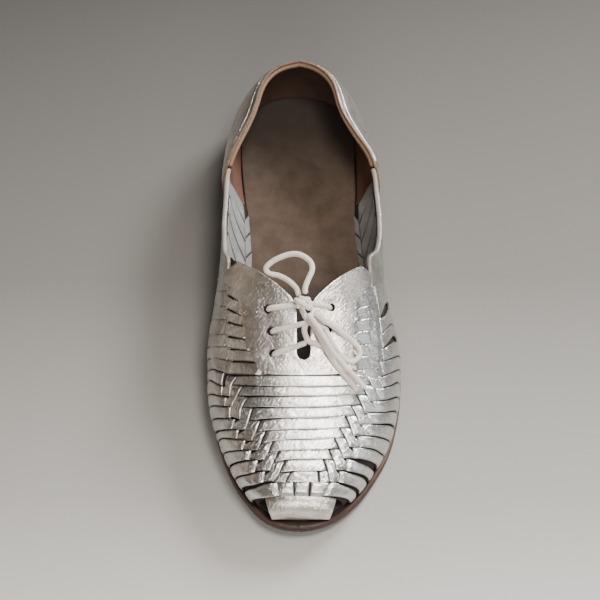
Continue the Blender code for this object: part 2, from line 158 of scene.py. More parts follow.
# The free lace, as (x, u, z) on its centre line, from the knot outwards.
CORDS = {
    "lace_loop_up": (
        (-0.6, 99.9, 61.2), (-0.8, 102.8, 61.9), (0.7, 107.1, 63), (2.6, 111.8, 64), (1.4, 116.3, 64.5),
        (-3.4, 120.2, 64), (-8.8, 120.8, 63), (-15.6, 118.8, 61), (-19.6, 115.9, 59), (-18.3, 113.5, 57.6),
        (-13.5, 112.3, 57.3), (-8.8, 109.2, 57.8), (-5, 104.3, 58.8), (-3.8, 99.8, 59.6),
    ),
    "lace_loop_low": (
        (3.6, 91.4, 58.6), (6, 90, 57.2), (8.6, 88.3, 55.6), (11.5, 87, 54.1), (15, 85.6, 51.9),
        (17.9, 84.2, 49.5), (20.9, 83, 47.1), (23.4, 81.4, 45), (25.2, 79.5, 43.4), (25.4, 76.9, 42.4),
        (24.1, 74.6, 42.2), (21.8, 72.9, 42.6), (19.4, 72.9, 43.4), (17.1, 74.3, 44.6), (15, 76.3, 46.2),
        (13.1, 78.3, 48.4), (11.3, 80.5, 50.4), (9.8, 83, 52.4), (9, 84.6, 53.4),
    ),
    "lace_end_a": (
        (0.3, 90.1, 59.3), (3, 86.8, 58.1), (5.9, 83, 56.3), (8.4, 79.3, 54.6), (10.5, 76.1, 53),
        (12.6, 73.4, 50.9), (15.4, 71.1, 48.6), (18, 68.8, 46.4), (20.3, 66.9, 44.6), (22.9, 64.9, 42.7),
        (25.7, 62.6, 40.4), (28, 60.8, 38.4),
    ),
    "lace_end_b": (
        (0.9, 90.3, 56.1), (2.6, 87.6, 55.1), (5.1, 83.7, 53), (7.3, 79.9, 51.2), (9.2, 76.5, 49.5),
        (11.3, 73.7, 47), (13.7, 70.5, 44.3), (16.7, 67.3, 42.4), (19.9, 64.5, 40.7), (22.8, 61.4, 38.9),
        (24.1, 59.4, 37.9),
    ),
}

# The strands that cross the slot; each starts and ends inside an eyelet.
BARS = (
    (
        (-18.4, 96.9, 50.6), (-18, 96.7, 52.5), (-16.2, 96.5, 53.9), (-13.8, 96.4, 54.5),
        (-9.6, 96.6, 55.3), (-5.9, 96.8, 55.9), (-1.5, 97.1, 56.4), (3.7, 97.2, 56), (7, 96.9, 55.6),
        (9.2, 96.9, 54.9), (10.7, 97, 53.4), (11.1, 97.1, 51.6),
    ),
    (
        (-3, 97, 56.2), (-1.6, 93.3, 54.5), (0.7, 89.9, 52.8), (4.5, 87.3, 51.5), (7.2, 86.6, 51),
        (9, 86.8, 49.8), (9.5, 87.1, 48),
    ),
    (
        (-16.6, 86.6, 46.6), (-16.1, 86.5, 48.5), (-14.4, 86.5, 50), (-10.5, 87, 51), (-4.8, 87.9, 51.9),
        (-0.1, 88.9, 52.4),
    ),
    (
        (0.2, 89.4, 52.7), (-1.2, 85.5, 51.1), (0.8, 80.9, 49.1), (4.7, 79.5, 48.3), (7.8, 78.3, 47.6),
        (9.7, 77.9, 46.3), (10.2, 77.8, 44.6),
    ),
    (
        (-15.8, 75.9, 42.8), (-15.3, 76, 44.7), (-13.6, 76.3, 46.2), (-10.1, 77.1, 47.2),
        (-4.9, 78.5, 48.1), (-0.2, 80.1, 48.8),
    ),
)

# Punched holes of the throat plate, as (x, u).
EYELETS = ((-18.5, 96.9), (-16.8, 86.7), (-16, 76.6), (11.5, 97.2), (9.9, 87.2), (10.7, 77.9))
EYELET = 1.9


def rounded(gone, power):
    return (1 - np.clip(gone, 0, 1) ** power) ** (1 / power)


def outline(station, side, inset=0.0):
    """Plan point (x, u) of the sole's outline, moved in by inset. u runs from the toe."""
    t = np.asarray(station, float)
    u = np.where(t < TOE_ROUND, inset + t * (1 - inset / TOE_ROUND), np.minimum(t, TURN))
    half = (SOLE.at("half", t) - inset) * rounded((TOE_ROUND - t) / TOE_ROUND, 2)
    turn = np.clip((t - TURN) / (BACK - TURN), 0, 1) * np.pi / 2
    across = np.cos(turn) / half
    along = np.sin(turn) / (HEEL_ROUND - inset)
    reach = (across**HEEL_SQUARE + along**HEEL_SQUARE) ** (-1 / HEEL_SQUARE)
    x = SOLE.at("centre", t) + side * reach * np.cos(turn)
    return x, u + reach * np.sin(turn)


def underside(u):
    return LIFT.at("height", u)


def feather(u):
    """Height at which the upper and the insole stand on the midsole."""
    return underside(u) + OUTSOLE + MIDSOLE + 2 * GAP


def form(station, side, share):
    """Point of the upper's outer form. share runs from 0 at the feather line to 1 at the ridge."""
    t, p = np.broadcast_arrays(np.asarray(station, float), np.asarray(share, float))
    foot_x, foot_u = outline(t, side, LEDGE)
    middle = LAST.at("middle", t)
    centre_u = np.where(t < TURN, foot_u, TURN)
    power = 2 / LAST.at("square", t)
    swell = LAST.at("swell_inner" if side == INNER else "swell_outer", t) * 6.75 * p * (1 - p) ** 2
    dx, du = foot_x - middle, foot_u - centre_u
    reach = np.maximum(np.hypot(dx, du), 1e-6)
    out = np.cos(p * np.pi / 2).clip(0) ** power + swell / reach
    base = feather(foot_u)
    z = base + (LAST.at("ridge", t) - base) * np.sin(p * np.pi / 2) ** power
    return np.stack([middle + dx * out, centre_u + du * out, z], -1)


def form_normal(station, side, share):
    """The form's outward direction."""
    t, p = np.broadcast_arrays(np.asarray(station, float), np.asarray(share, float))
    low, high = np.clip(p - 0.004, 0.002, 0.99), np.clip(p + 0.004, 0.01, 0.998)
    along = form(t + 0.4, side, p.clip(0.002, 0.998)) - form(t - 0.4, side, p.clip(0.002, 0.998))
    up = form(t, side, high) - form(t, side, low)
    normal = np.cross(along, up) * side
    return normal / np.maximum(np.linalg.norm(normal, axis=-1, keepdims=True), 1e-9)


def surface(station, place, height):
    """Point at a height over the form, where place is signed: 0 at the ridge, 1 at the sole."""
    t, w, h = np.broadcast_arrays(*(np.asarray(v, float) for v in (station, place, height)))
    share = (1 - np.abs(w)).clip(0, 1)
    inner = (w < 0)[..., None]
    here = np.where(inner, form(t, INNER, share), form(t, OUTER, share))
    normal = np.where(inner, form_normal(t, INNER, share), form_normal(t, OUTER, share))
    near = np.clip(1 - np.abs(w) / 0.06, 0, 1)[..., None]
    normal[..., 0] *= 1 - near[..., 0]
    normal /= np.linalg.norm(normal, axis=-1, keepdims=True)
    return here + h[..., None] * normal


def search(test):
    low, high = 0.0, 1.0
    for _ in range(26):
        middle = (low + high) / 2
        low, high = (middle, high) if test(middle) else (low, middle)
    return low


def share_beside(station, side, half, least=0.0):
    """Share of the wall at which it stands this far from the ridge in plan."""
    middle = LAST.at("middle", station)
    return search(lambda p: p < least or abs(form(station, side, p)[0] - middle) > half)


def at_throat(station, side):
    return share_beside(station, side, THROAT.at("half", station), 0.3)


def at_collar(station, side):
    height = COLLAR.at("height", station)
    return search(lambda p: form(station, side, p)[2] < height)


def top_share(station, side):
    """Share of the wall at which the upper ends above this station."""
    throat_end, collar_start = THROAT.stations[-1], COLLAR.stations[0]
    if station <= SLOT_END:
        return 1.0
    if station <= throat_end:
        return at_throat(station, side)
    if station >= collar_start:
        return at_collar(station, side)
    q = (station - throat_end) / (collar_start - throat_end)
    q = q * q * (3 - 2 * q)
    return (1 - q) * at_throat(throat_end, side) + q * at_collar(collar_start, side)


def slot_share(station, side):
    """Where the throat plate ends beside the slot, which is round in front."""
    start = np.clip(station - SLOT_END, 0, SLOT_ROUND)
    half = np.sqrt(SLOT_ROUND**2 - (SLOT_ROUND - start) ** 2)
    if station > SLOT_END + SLOT_ROUND:
        half = max(half, float(THROAT.at("half", station)))
    return share_beside(station, side, half)


def place_of(station, x):
    """The signed place of a plan x at a station."""
    middle = float(LAST.at("middle", station))
    side = INNER if x < middle else OUTER
    return side * (1 - share_beside(station, side, abs(x - middle)))


TOP_STATIONS = np.arange(SLOT_END, BACK + 0.5, 1.0)
TOPS = {side: np.array([top_share(float(t), side) for t in TOP_STATIONS]) for side in SIDES}


def top_at(station, side):
    return np.interp(station, TOP_STATIONS, TOPS[side])


def to_world(points):
    return (np.asarray(points, float) - (0, LENGTH / 2, 0)) * MM


def value_noise(points, seed=0):
    """Smooth noise from -1 to 1, with a cell of 1."""
    cell = np.floor(points).astype(np.int64)
    part = points - cell
    part = part * part * (3 - 2 * part)
    total = np.zeros(points.shape[:-1])
    for corner in product((0, 1), repeat=3):
        c = cell + corner
        mixed = c[..., 0] * 73856093 ^ c[..., 1] * 19349663 ^ c[..., 2] * 83492791 ^ (seed * 2654435761)
        mixed = (mixed ^ (mixed >> 13)) * 1274126177
        mixed = (mixed ^ (mixed >> 16)) & 0xFFFF
        weight = np.prod(np.where(corner, part, 1 - part), axis=-1)
        total += weight * (mixed / 0x7FFF - 1)
    return total


def creased(points, cell, seed):
    """Noise with soft folded ridges, from 0 to 1."""
    first = 1 - np.abs(value_noise(points / cell, seed))
    second = 1 - np.abs(value_noise(points / cell * 2.1, seed + 7))
    return (first**2 * 0.65 + second**2 * 0.35)


# ---------------------------------------------------------------- camera and cords

AIM = Vector((-0.00325, -0.00471, 0.020))
SLANT = np.radians(60)
REACH = 1.0


def linked(name, data):
    made = bpy.data.objects.new(name, data)
    bpy.context.scene.collection.objects.link(made)
    return made


def set_camera():
    data = bpy.data.cameras.new("camera")
    data.lens = 119.5
    data.sensor_width = 36
    camera = linked("camera", data)
    back = Vector((0, -np.cos(SLANT), np.sin(SLANT)))
    camera.location = AIM + back * REACH
    camera.rotation_euler = back.to_track_quat("Z", "Y").to_euler()
    bpy.context.scene.camera = camera


def smooth_route(points, step):
    """Points about a step apart along a smooth curve through the given ones."""
    given = np.array(points, float)
    ends = np.vstack([2 * given[0] - given[1], given, 2 * given[-1] - given[-2]])
    fine = []
    for before, start, stop, after in zip(ends, ends[1:], ends[2:], ends[3:]):
        for q in np.arange(0, 1, 0.05):
            bend = (2 * before - 5 * start + 4 * stop - after) * q * q
            twist = (3 * start - before - 3 * stop + after) * q**3
            fine.append(0.5 * (2 * start + (stop - before) * q + bend + twist))
    fine = np.array(fine + [given[-1]])
    along = np.concatenate([[0], np.cumsum(np.linalg.norm(np.diff(fine, axis=0), axis=1))])
    wanted = np.linspace(0, along[-1], max(2, round(along[-1] / step) + 1))
    return np.stack([np.interp(wanted, along, fine[:, k]) for k in range(3)], -1)


# ---------------------------------------------------------------- materials


def feed(tree, socket, value):
    if isinstance(value, bpy.types.NodeSocket):
        tree.links.new(value, socket)
    else:
        socket.default_value = value


def add_node(tree, kind, inputs=None, **settings):
    made = tree.nodes.new(kind)
    for key, value in settings.items():
        setattr(made, key, value)
    for key, value in (inputs or {}).items():
        feed(tree, made.inputs[key], value)
    return made


class Finish:
    """A material whose nodes are added by short calls."""

    def __init__(self, name):
        self.material = bpy.data.materials.new(name)
        self.material.use_nodes = True
        self.tree = self.material.node_tree
        self.node = partial(add_node, self.tree)
        self.place = self.node("ShaderNodeTexCoord").outputs["Object"]

    def set(self, **values):
        for key, value in values.items():
            feed(self.tree, self.tree.nodes["Principled BSDF"].inputs[key.replace("_", " ")], value)

    def stretched(self, scale, turn):
        inputs = {"Vector": self.place, "Scale": tuple(1 / k for k in scale), "Rotation": turn}
        return self.node("ShaderNodeMapping", inputs, vector_type="TEXTURE").outputs[0]

    def noise(self, scale, detail, roughness, distortion=0.0, place=None):
        inputs = {"Vector": place or self.place, "Scale": scale, "Detail": detail,
                  "Roughness": roughness, "Distortion": distortion}
        return self.node("ShaderNodeTexNoise", inputs).outputs[0]

    def cells(self, scale):
        inputs = {"Vector": self.place, "Scale": scale}
        return self.node("ShaderNodeTexVoronoi", inputs, feature="DISTANCE_TO_EDGE").outputs[0]

    def ramp(self, value, *stops):
        made = self.node("ShaderNodeValToRGB", {"Fac": value})
        ends = made.color_ramp.elements
        while len(ends) < len(stops):
            ends.new(0.5)
        for end, (position, colour) in zip(ends, stops):
            end.position = position
            end.color = (*colour, 1) if hasattr(colour, "__len__") else (colour,) * 3 + (1,)
        return made.outputs[0]

    def span(self, value, low, high, to_low, to_high):
        inputs = {"Value": value, "From Min": low, "From Max": high, "To Min": to_low, "To Max": to_high}
        return self.node("ShaderNodeMapRange", inputs).outputs[0]

    def maths(self, operation, first, second):
        return self.node("ShaderNodeMath", {0: first, 1: second}, operation=operation).outputs[0]

    def mix(self, factor, first, second):
        first, second = (v if isinstance(v, bpy.types.NodeSocket) else (*v, 1) for v in (first, second))
        return self.node("ShaderNodeMix", {0: factor, 6: first, 7: second}, data_type="RGBA").outputs[2]

    def blend(self, value, low, high, first, second):
        """The first colour where a noise is under low, the second where it is over high."""
        return self.mix(self.ramp(value, (low, 0.0), (high, 1.0)), first, second)

    def attribute(self, name):
        return self.node("ShaderNodeAttribute", attribute_name=name).outputs["Fac"]

    def shaded(self, body, part, deep):
        """The body, mixed by this much with a deep colour where the mesh's painted shade is low."""
        return self.mix(self.attribute("shade"), self.mix(part, body, deep), body)

    def bump(self, *layers):
        """Layers are (height, depth in mm, strength), from the broadest to the finest."""
        normal = None
        for height, depth, strength in layers:
            inputs = {"Height": height, "Distance": depth * MM, "Strength": strength}
            inputs |= {"Normal": normal} if normal else {}
            normal = self.node("ShaderNodeBump", inputs).outputs[0]
        self.set(Normal=normal)


def silver_leather(name, dark, light, gloss, grain=1.0):
    """Foil on leather: a wrinkled, pebbled film, brown where its cracks have opened."""
    made = Finish(name)
    slanted = made.stretched((4.0, 1.0, 1.6), (0.2, 0.1, -0.7))
    crossed = made.stretched((3.0, 1.0, 1.6), (0.2, -0.1, 0.5))
    folds = made.noise(150, 3, 0.6, 0.6)
    hatch = made.maths("ADD", made.noise(330, 2, 0.5, 0.5, slanted),
                       made.maths("MULTIPLY", made.noise(260, 2, 0.5, 0.6, crossed), 0.5))
    pebble = made.noise(1150, 3, 0.65, 0.5)
    cracks = made.ramp(made.noise(520, 4, 0.75, 0.6, slanted), (0.55, 0.0), (0.70, 1.0))
    body = made.blend(made.noise(110, 3, 0.6), 0.35, 0.65, dark, light)
    body = made.mix(made.maths("MULTIPLY", cracks, 0.32), body, (0.25, 0.19, 0.15))
    raw = made.attribute("raw")
    cut = made.blend(made.noise(1800, 3, 0.6), 0.35, 0.65, (0.07, 0.036, 0.02), (0.25, 0.15, 0.095))
    rough = made.span(pebble, 0.3, 0.7, gloss, gloss + 0.12)
    # Painted shade: where the mesh's shade attribute is low, the foil's colour goes near black in the seams and
    # gaps between the strips.
    made.set(Base_Color=made.mix(raw, made.shaded(body, 0.85, (0.03, 0.024, 0.02)), cut),
             Metallic=made.span(raw, 0, 1, 1, 0), Roughness=made.maths("ADD", rough, made.span(raw, 0, 1, 0, 0.45)))
    made.bump((folds, 0.2 / grain, 0.7), (hatch, 0.20 * grain, 1.0), (pebble, 0.07 * grain, 1.0),
              (made.noise(2600, 2, 0.5), 0.03, 0.8))
    return made.material


def plain_leather(name, dark, light, rough, scale, depth, raw_colour=None):
    """Uncoated leather or suede, with grain and worn patches."""
    made = Finish(name)
    broad = made.noise(scale * 0.12, 4, 0.6)
    grain = made.noise(scale, 4, 0.6, 0.3)
    body = made.blend(broad, 0.32, 0.68, dark, light)
    body = made.blend(grain, 0.35, 0.65, made.mix(0.25, body, (0.02, 0.012, 0.01)), body)
    # Painted shade: where the mesh's shade attribute is low, the colour goes near black.
    body = made.shaded(body, 0.92, (0.012, 0.008, 0.006))
    if raw_colour:
        ends = [tuple(min(1, c * k) for c in raw_colour) for k in (0.5, 1.5)]
        body = made.mix(made.attribute("raw"), body, made.mix(made.noise(scale * 2.2, 3, 0.6), *ends))
    made.set(Base_Color=body, Roughness=made.span(grain, 0.3, 0.7, rough, min(1, rough + 0.15)))
    made.bump((broad, depth, 0.4), (grain, depth, 0.7), (made.cells(scale * 1.3), depth * 0.4, 0.5))
    return made.material


def cord_cotton(name):
    """Waxed cotton cord: cream fibres, with painted shade between the plaits."""
    made = Finish(name)
    fibre = made.noise(2600, 3, 0.6, 0.0, made.stretched((1.0, 0.35, 1.0), (0, 0, 0.5)))
    body = made.blend(fibre, 0.3, 0.7, (0.72, 0.62, 0.54), (0.86, 0.78, 0.70))
    body = made.blend(made.noise(240, 3, 0.6), 0.45, 0.7, body, (0.90, 0.84, 0.77))
    made.set(Base_Color=made.mix(made.attribute("shade"), (0.33, 0.24, 0.17), body),
             Roughness=0.75, Sheen_Weight=0.25)
    made.bump((fibre, 0.05, 0.6))
    return made.material


def stacked(name):
    """The heel's layers of leather, seen on edge and waxed brown."""
    made = Finish(name)
    streak = made.noise(60, 4, 0.6, 0.0, made.stretched((1.0, 1.0, 14.0), (0, 0, 0)))
    grain = made.noise(900, 3, 0.6)
    body = made.blend(streak, 0.35, 0.65, (0.05, 0.022, 0.012), (0.17, 0.085, 0.05))
    made.set(Base_Color=made.mix(made.attribute("shade"), (0.012, 0.007, 0.005), body),
             Roughness=made.span(grain, 0.3, 0.7, 0.32, 0.5))
    made.bump((streak, 0.12, 0.5), (grain, 0.05, 0.4))
    return made.material


def rubber(name):
    made = Finish(name)
    dust = made.noise(150, 4, 0.65)
    body = made.blend(dust, 0.35, 0.7, (0.045, 0.025, 0.016), (0.085, 0.05, 0.034))
    made.set(Base_Color=made.mix(made.attribute("shade"), (0.015, 0.009, 0.006), body),
             Roughness=made.span(dust, 0.3, 0.7, 0.45, 0.7))
    made.bump((made.noise(1500, 3, 0.5), 0.08, 0.5))
    return made.material


def floor_paint(name):
    """A floor whose colour is lighter towards the front: painted light, in place of the lamps' falloff."""
    made = Finish(name)
    along = made.node("ShaderNodeSeparateXYZ", {0: made.place}).outputs["Y"]
    # Painted light: the colour falls from pale at the front to dark at the back.
    tones = ((0.0, (0.72, 0.70, 0.665)), (0.22, (0.40, 0.388, 0.365)),
             (0.5, (0.195, 0.187, 0.172)), (1.0, (0.064, 0.060, 0.055)))
    made.set(Base_Color=made.ramp(made.span(along, -0.20, 0.24, 0, 1), *tones), Roughness=0.85)
    made.bump((made.noise(700, 2, 0.55), 0.05, 0.15))
    return made.material


# ---------------------------------------------------------------- mesh building


def lengths_along(points, axis):
    steps = np.linalg.norm(np.diff(points, axis=axis), axis=-1)
    start = np.zeros_like(np.take(steps, [0], axis=axis))
    return np.concatenate([start, np.cumsum(steps, axis=axis)], axis=axis)


SHARE_LENGTH = 55


def follow(edge, where, corners=False):
    """Points at these shares of the length of a smooth line through (station, place) points."""
    points = np.array(edge, float)
    if len(points) == 2:
        return points[0] + (points[1] - points[0]) * where[:, None]
    along = points * (1, SHARE_LENGTH)
    if not corners:
        points = smooth_route(np.column_stack([along, np.zeros(len(along))]), 0.5)[:, :2] / (1, SHARE_LENGTH)
    along = lengths_along(points * (1, SHARE_LENGTH), 0)
    return np.stack([np.interp(where * along[-1], along, points[:, k]) for k in range(2)], -1)


def spaced(length, count, rim):
    """Shares of a length, with a few close to both ends so that a rim can be round."""
    close = np.array([0, 0.12, 0.4, 0.8]) * rim
    close = close[close < length * 0.3]
    inside = np.linspace(close[-1], length - close[-1], count)[1:-1] if len(close) else np.array([])
    return np.concatenate([close, inside, (length - close)[::-1]]) / length


def rounding(rim, *gone):
    """The share of its thickness that a piece has this far from its edges."""
    profile = 1.0
    for away in gone:
        profile = profile * np.sqrt(np.maximum(1 - np.clip(1 - away / rim, 0, 1) ** 2, 0.03))
    return profile


class Shell:
    """Gathers closed patches that become one joined piece."""

    def __init__(self):
        self.points, self.faces, self.shade, self.raw = [], [], [], []
        self.count = 0

    def add(self, points, faces, shade, raw=None):
        points = points.reshape(-1, 3)
        self.points.append(points)
        self.faces += [[k + self.count for k in face] for face in faces]
        self.shade.append(shade.reshape(-1))
        self.raw.append(np.zeros(len(points)) if raw is None else raw)
        self.count += len(points)

    def loft(self, rings, shade, turn=1):
        """A closed tube through rings of points that run this way round, with a flat face at each end."""
        index = np.arange(shade.size).reshape(shade.shape)
        after = np.roll(index, -1, axis=1)
        faces = np.stack([index[:-1], after[:-1], after[1:], index[1:]], -1).reshape(-1, 4).tolist()
        self.add(rings, faces + [index[0, ::-turn].tolist(), index[-1, ::turn].tolist()], shade)

    def slab(self, t, w, rise, thick, shade, raw=None, profile=1.0):
        """A closed sheet over a grid of places on the form."""
        self.sheet(surface(t, w, rise + thick / 2 * profile), surface(t, w, rise - thick / 2 * profile), shade, raw)

    def sheet(self, top, bottom, shade, raw=None):
        """A closed solid between two grids of points, joined round their borders."""
        index = np.arange(shade.size).reshape(shade.shape)
        under = index + shade.size
        faces = []
        for grid, flip in ((index, 1), (under, -1)):
            quads = np.stack([grid[:-1, :-1], grid[1:, :-1], grid[1:, 1:], grid[:-1, 1:]], -1).reshape(-1, 4)
            faces += quads[:, ::flip].tolist()
        ring = np.concatenate([index[0, :-1], index[:-1, -1], index[-1, :0:-1], index[:0:-1, 0]])
        after = np.roll(ring, -1)
        faces += np.stack([ring, after, after + shade.size, ring + shade.size], -1).tolist()
        raw = np.zeros_like(shade) if raw is None else raw
        self.add(np.stack([top, bottom]), faces, np.stack([shade, shade]), np.stack([raw, raw]).reshape(-1))

    def piece(self, name, finish, replaces=()):
        mesh = bpy.data.meshes.new(name)
        mesh.from_pydata(to_world(np.concatenate(self.points)).tolist(), [], self.faces)
        paint(mesh, np.concatenate(self.shade), np.concatenate(self.raw))
        work = bmesh.new()
        work.from_mesh(mesh)
        bmesh.ops.recalc_face_normals(work, faces=work.faces)
        work.to_mesh(mesh)
        work.free()
        smoothed(mesh)
        return place_piece(name, mesh, finish, replaces)


def paint(mesh, shade, raw):
    """Stores the painted shade (in the heel lifts also the dark top piece's own tone) and the raw edges, which the
    finishes read.
    """
    for key, values in (("shade", shade), ("raw", raw)):
        layer = mesh.attributes.new(key, "FLOAT", "POINT")
        layer.data.foreach_set("value", values.astype(np.float32))


def smoothed(mesh):
    mesh.shade_smooth()
    mesh.set_sharp_from_angle(angle=np.radians(50))


def joined(name, finish, *jobs, slot="silver_leather", replaces=()):
    """A piece made by one or more functions that add patches to its shell."""
    shell = Shell()
    for job in jobs:
        job(shell)
    return shell.piece(name, finish, replaces)


def place_piece(name, mesh, finish, replaces=()):
    mesh.materials.append(FINISHES[finish])
    made = linked(name, mesh)
    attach(made, "root")
    if replaces:
        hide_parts(*replaces)
    return made


def strip(shell, side, edge_a, edge_b, heights, thick, crown=0.0, ripple=0.0, cell=2.2, grooves=0.0,
          seed=0, along=20, across=7, tone=1.0, dark=(0.0, 0.0, 0.0), raw=0.0, rim=0.5, corners=False):
    """A strap between two lines on the form, given by shares on a side or by signed places.

    heights are (share of the length, height of its middle layer). dark says how much painted
    shade darkens the start, the end and the long sides.
    """
    edges = [[(t, side * (1 - p)) for t, p in edge] if side else edge for edge in (edge_a, edge_b)]
    line_a, line_b = (surface(*follow(edge, np.linspace(0, 1, 12), corners).T, 0.0) for edge in edges)
    length = (lengths_along(line_a, 0)[-1] + lengths_along(line_b, 0)[-1]) / 2
    width = np.linalg.norm(line_a - line_b, axis=1).mean()
    a, s = spaced(length, along, rim), spaced(width, across, rim)
    first, second = (follow(edge, a, corners)[:, None] for edge in edges)
    t, w = np.moveaxis(first * (1 - s)[None, :, None] + second * s[None, :, None], -1, 0)
    flat = surface(t, w, 0.0)
    down, over = lengths_along(flat, 0), lengths_along(flat, 1)
    from_start, from_end = down, down[-1:] - down
    from_side = np.minimum(over, over[:, -1:] - over)
    from_tip = np.minimum(from_start, from_end)
    rise = np.interp(a, *np.array(heights, float).T)
    rise = np.convolve(np.pad(rise, 1, mode="edge"), (0.2, 0.6, 0.2), "valid")[:, None]
    rise = rise + crown * (1 - (2 * s - 1) ** 2)[None]
    fade = np.clip(np.minimum(from_tip, from_side * 1.5) / 1.2, 0.25, 1)
    rise = rise + ripple * (creased(flat, cell, seed) - 0.55) * 1.6 * fade
    if grooves:
        lines = np.sin(2 * np.pi * (s[None] * 2.6 + 0.35 * value_noise(flat / 4.0, seed + 3)))
        rise = rise + grooves * lines * fade
    # Painted shade: the colour darkens towards the ends and long sides, where the strap meets or dives under its
    # neighbours; an amount over 0.9 makes a narrow near-black line. tone darkens the whole strap.
    shade = np.full_like(t, tone)
    for gone, amount, reach in ((from_start, dark[0], 1.3), (from_end, dark[1], 1.3), (from_side, dark[2], 0.38)):
        deep = amount > 0.9
        shade = shade * (1 - amount * np.exp(-((gone / (0.95 if deep else reach)) ** (6 if deep else 2))))
    edge = raw * np.clip(1 - np.minimum(from_side, from_tip) / (thick * 0.4), 0, 1)
    shell.slab(t, w, rise, thick, shade, edge, rounding(rim, from_tip, from_side))


def tube(shell, points):
    """A plaited lace along points in millimetres, with rounded ends."""
    step, sides, plait, radius = 0.22, 24, 0.022, LACE / 2
    route = smooth_route(points, step)
    ahead = np.gradient(route, axis=0)
    ahead /= np.linalg.norm(ahead, axis=1, keepdims=True)
    across = np.cross(ahead[0], (0.3, 0.2, 1.0))
    frames = []
    for direction in ahead:
        across = across - direction * (across @ direction)
        across /= np.linalg.norm(across)
        frames.append(across.copy())
    frames = np.array(frames)
    other = np.cross(ahead, frames)
    turn = np.arange(sides) / sides * 2 * np.pi
    distance = np.arange(len(route)) * step
    twist = distance[:, None] * 2 * np.pi / 1.7
    weave = np.sin(4 * turn[None] + twist) * np.sin(4 * turn[None] - twist)
    near_end = np.minimum(distance, distance[-1] - distance)
    end = np.sqrt(np.clip(1 - np.clip(1 - near_end / (radius * 0.7), 0, 1) ** 2, 0.04, 1))
    wide = radius * (0.97 + plait * weave) * end[:, None]
    ring = frames[:, None] * np.cos(turn)[None, :, None] + other[:, None] * np.sin(turn)[None, :, None]
    # Painted shade: the cord is darker in the grooves between the plaits.
    shade = 0.84 + 0.16 * np.clip(weave * 0.9 + 0.45, 0, 1)
    shell.loft(route[:, None] + ring * wide[..., None], shade, -1)


# ---------------------------------------------------------------- the woven vamp

# Gap lines on the ridge, then both ends of each row: back and front corner as (station, share).
ROWS_OF_BARS = (
    (65.9, 60.4, ((68.6, 0.586), (65.1, 0.542)), ((68.9, 0.61), (64.6, 0.57))),
    (60.4, 55.9, ((63, 0.623), (59, 0.58)), ((63.6, 0.645), (59.4, 0.603))),
    (55.9, 50.4, ((57, 0.655), (53, 0.605)), ((58.4, 0.679), (54, 0.636))),
    (50.4, 45.3, ((51.4, 0.686), (45.9, 0.648)), ((52.5, 0.711), (48.4, 0.667))),
    (45.3, 39.7, ((44.9, 0.736), (39.9, 0.692)), ((47.4, 0.748), (41.9, 0.698))),
    (39.7, 34.9, ((39.9, 0.773), (33.9, 0.711)), ((41.4, 0.786), (36.9, 0.729))),
    (34.9, 29.7, ((34.9, 0.817), (29.3, 0.761)), ((36.3, 0.811), (31.4, 0.754))),
    (29.7, 25.2, ((29.8, 0.854), (24.4, 0.792)), ((30.4, 0.836), (25.8, 0.779))),
    (25.2, 19.7, ((24.9, 0.892), (19.2, 0.829)), ((25.3, 0.861), (20.2, 0.804))),
    (19.7, 14.7, ((19.2, 0.929), (14.7, 0.867)), ((19.7, 0.886), (14.1, 0.848))),
)

# The lips of the outer strips: back and front corner. The last ten stand beside the bars.
LIPS = {
    INNER: (
        ((107.5, 0.48), (104.8, 0.458)), ((99.9, 0.492), (97.6, 0.467)), ((94.9, 0.511), (90.8, 0.48)),
        ((87.8, 0.523), (84.8, 0.48)), ((81.8, 0.536), (78.3, 0.492)), ((75.8, 0.548), (71.8, 0.511)),
        ((71, 0.47), (67.4, 0.448)), ((64.7, 0.455), (61.7, 0.436)), ((59.7, 0.48), (55.7, 0.455)),
        ((53.2, 0.511), (50.2, 0.48)), ((46.7, 0.523), (43.7, 0.473)), ((41.2, 0.536), (38.1, 0.498)),
        ((35.6, 0.58), (32.6, 0.517)), ((30.6, 0.605), (27.1, 0.548)), ((25.1, 0.642), (21.6, 0.561)),
        ((19.6, 0.679), (16.1, 0.617)), ((14.6, 0.772), (9.2, 0.762)),
    ),
    OUTER: (
        ((96.9, 0.473), (92.4, 0.473)), ((88.8, 0.492), (84.8, 0.461)), ((81.8, 0.48), (78.4, 0.448)),
        ((74.8, 0.492), (70.8, 0.455)), ((67.8, 0.511), (64.7, 0.455)), ((62.2, 0.53), (58.2, 0.473)),
        ((56.7, 0.542), (52.2, 0.486)), ((50.2, 0.58), (45.2, 0.523)), ((43.7, 0.605), (39.6, 0.542)),
        ((38.1, 0.623), (33.1, 0.561)), ((32.1, 0.63), (27.6, 0.58)), ((26.6, 0.648), (21.6, 0.605)),
        ((20.6, 0.679), (15.6, 0.63)), ((15.2, 0.72), (9.2, 0.768)),
    ),
}

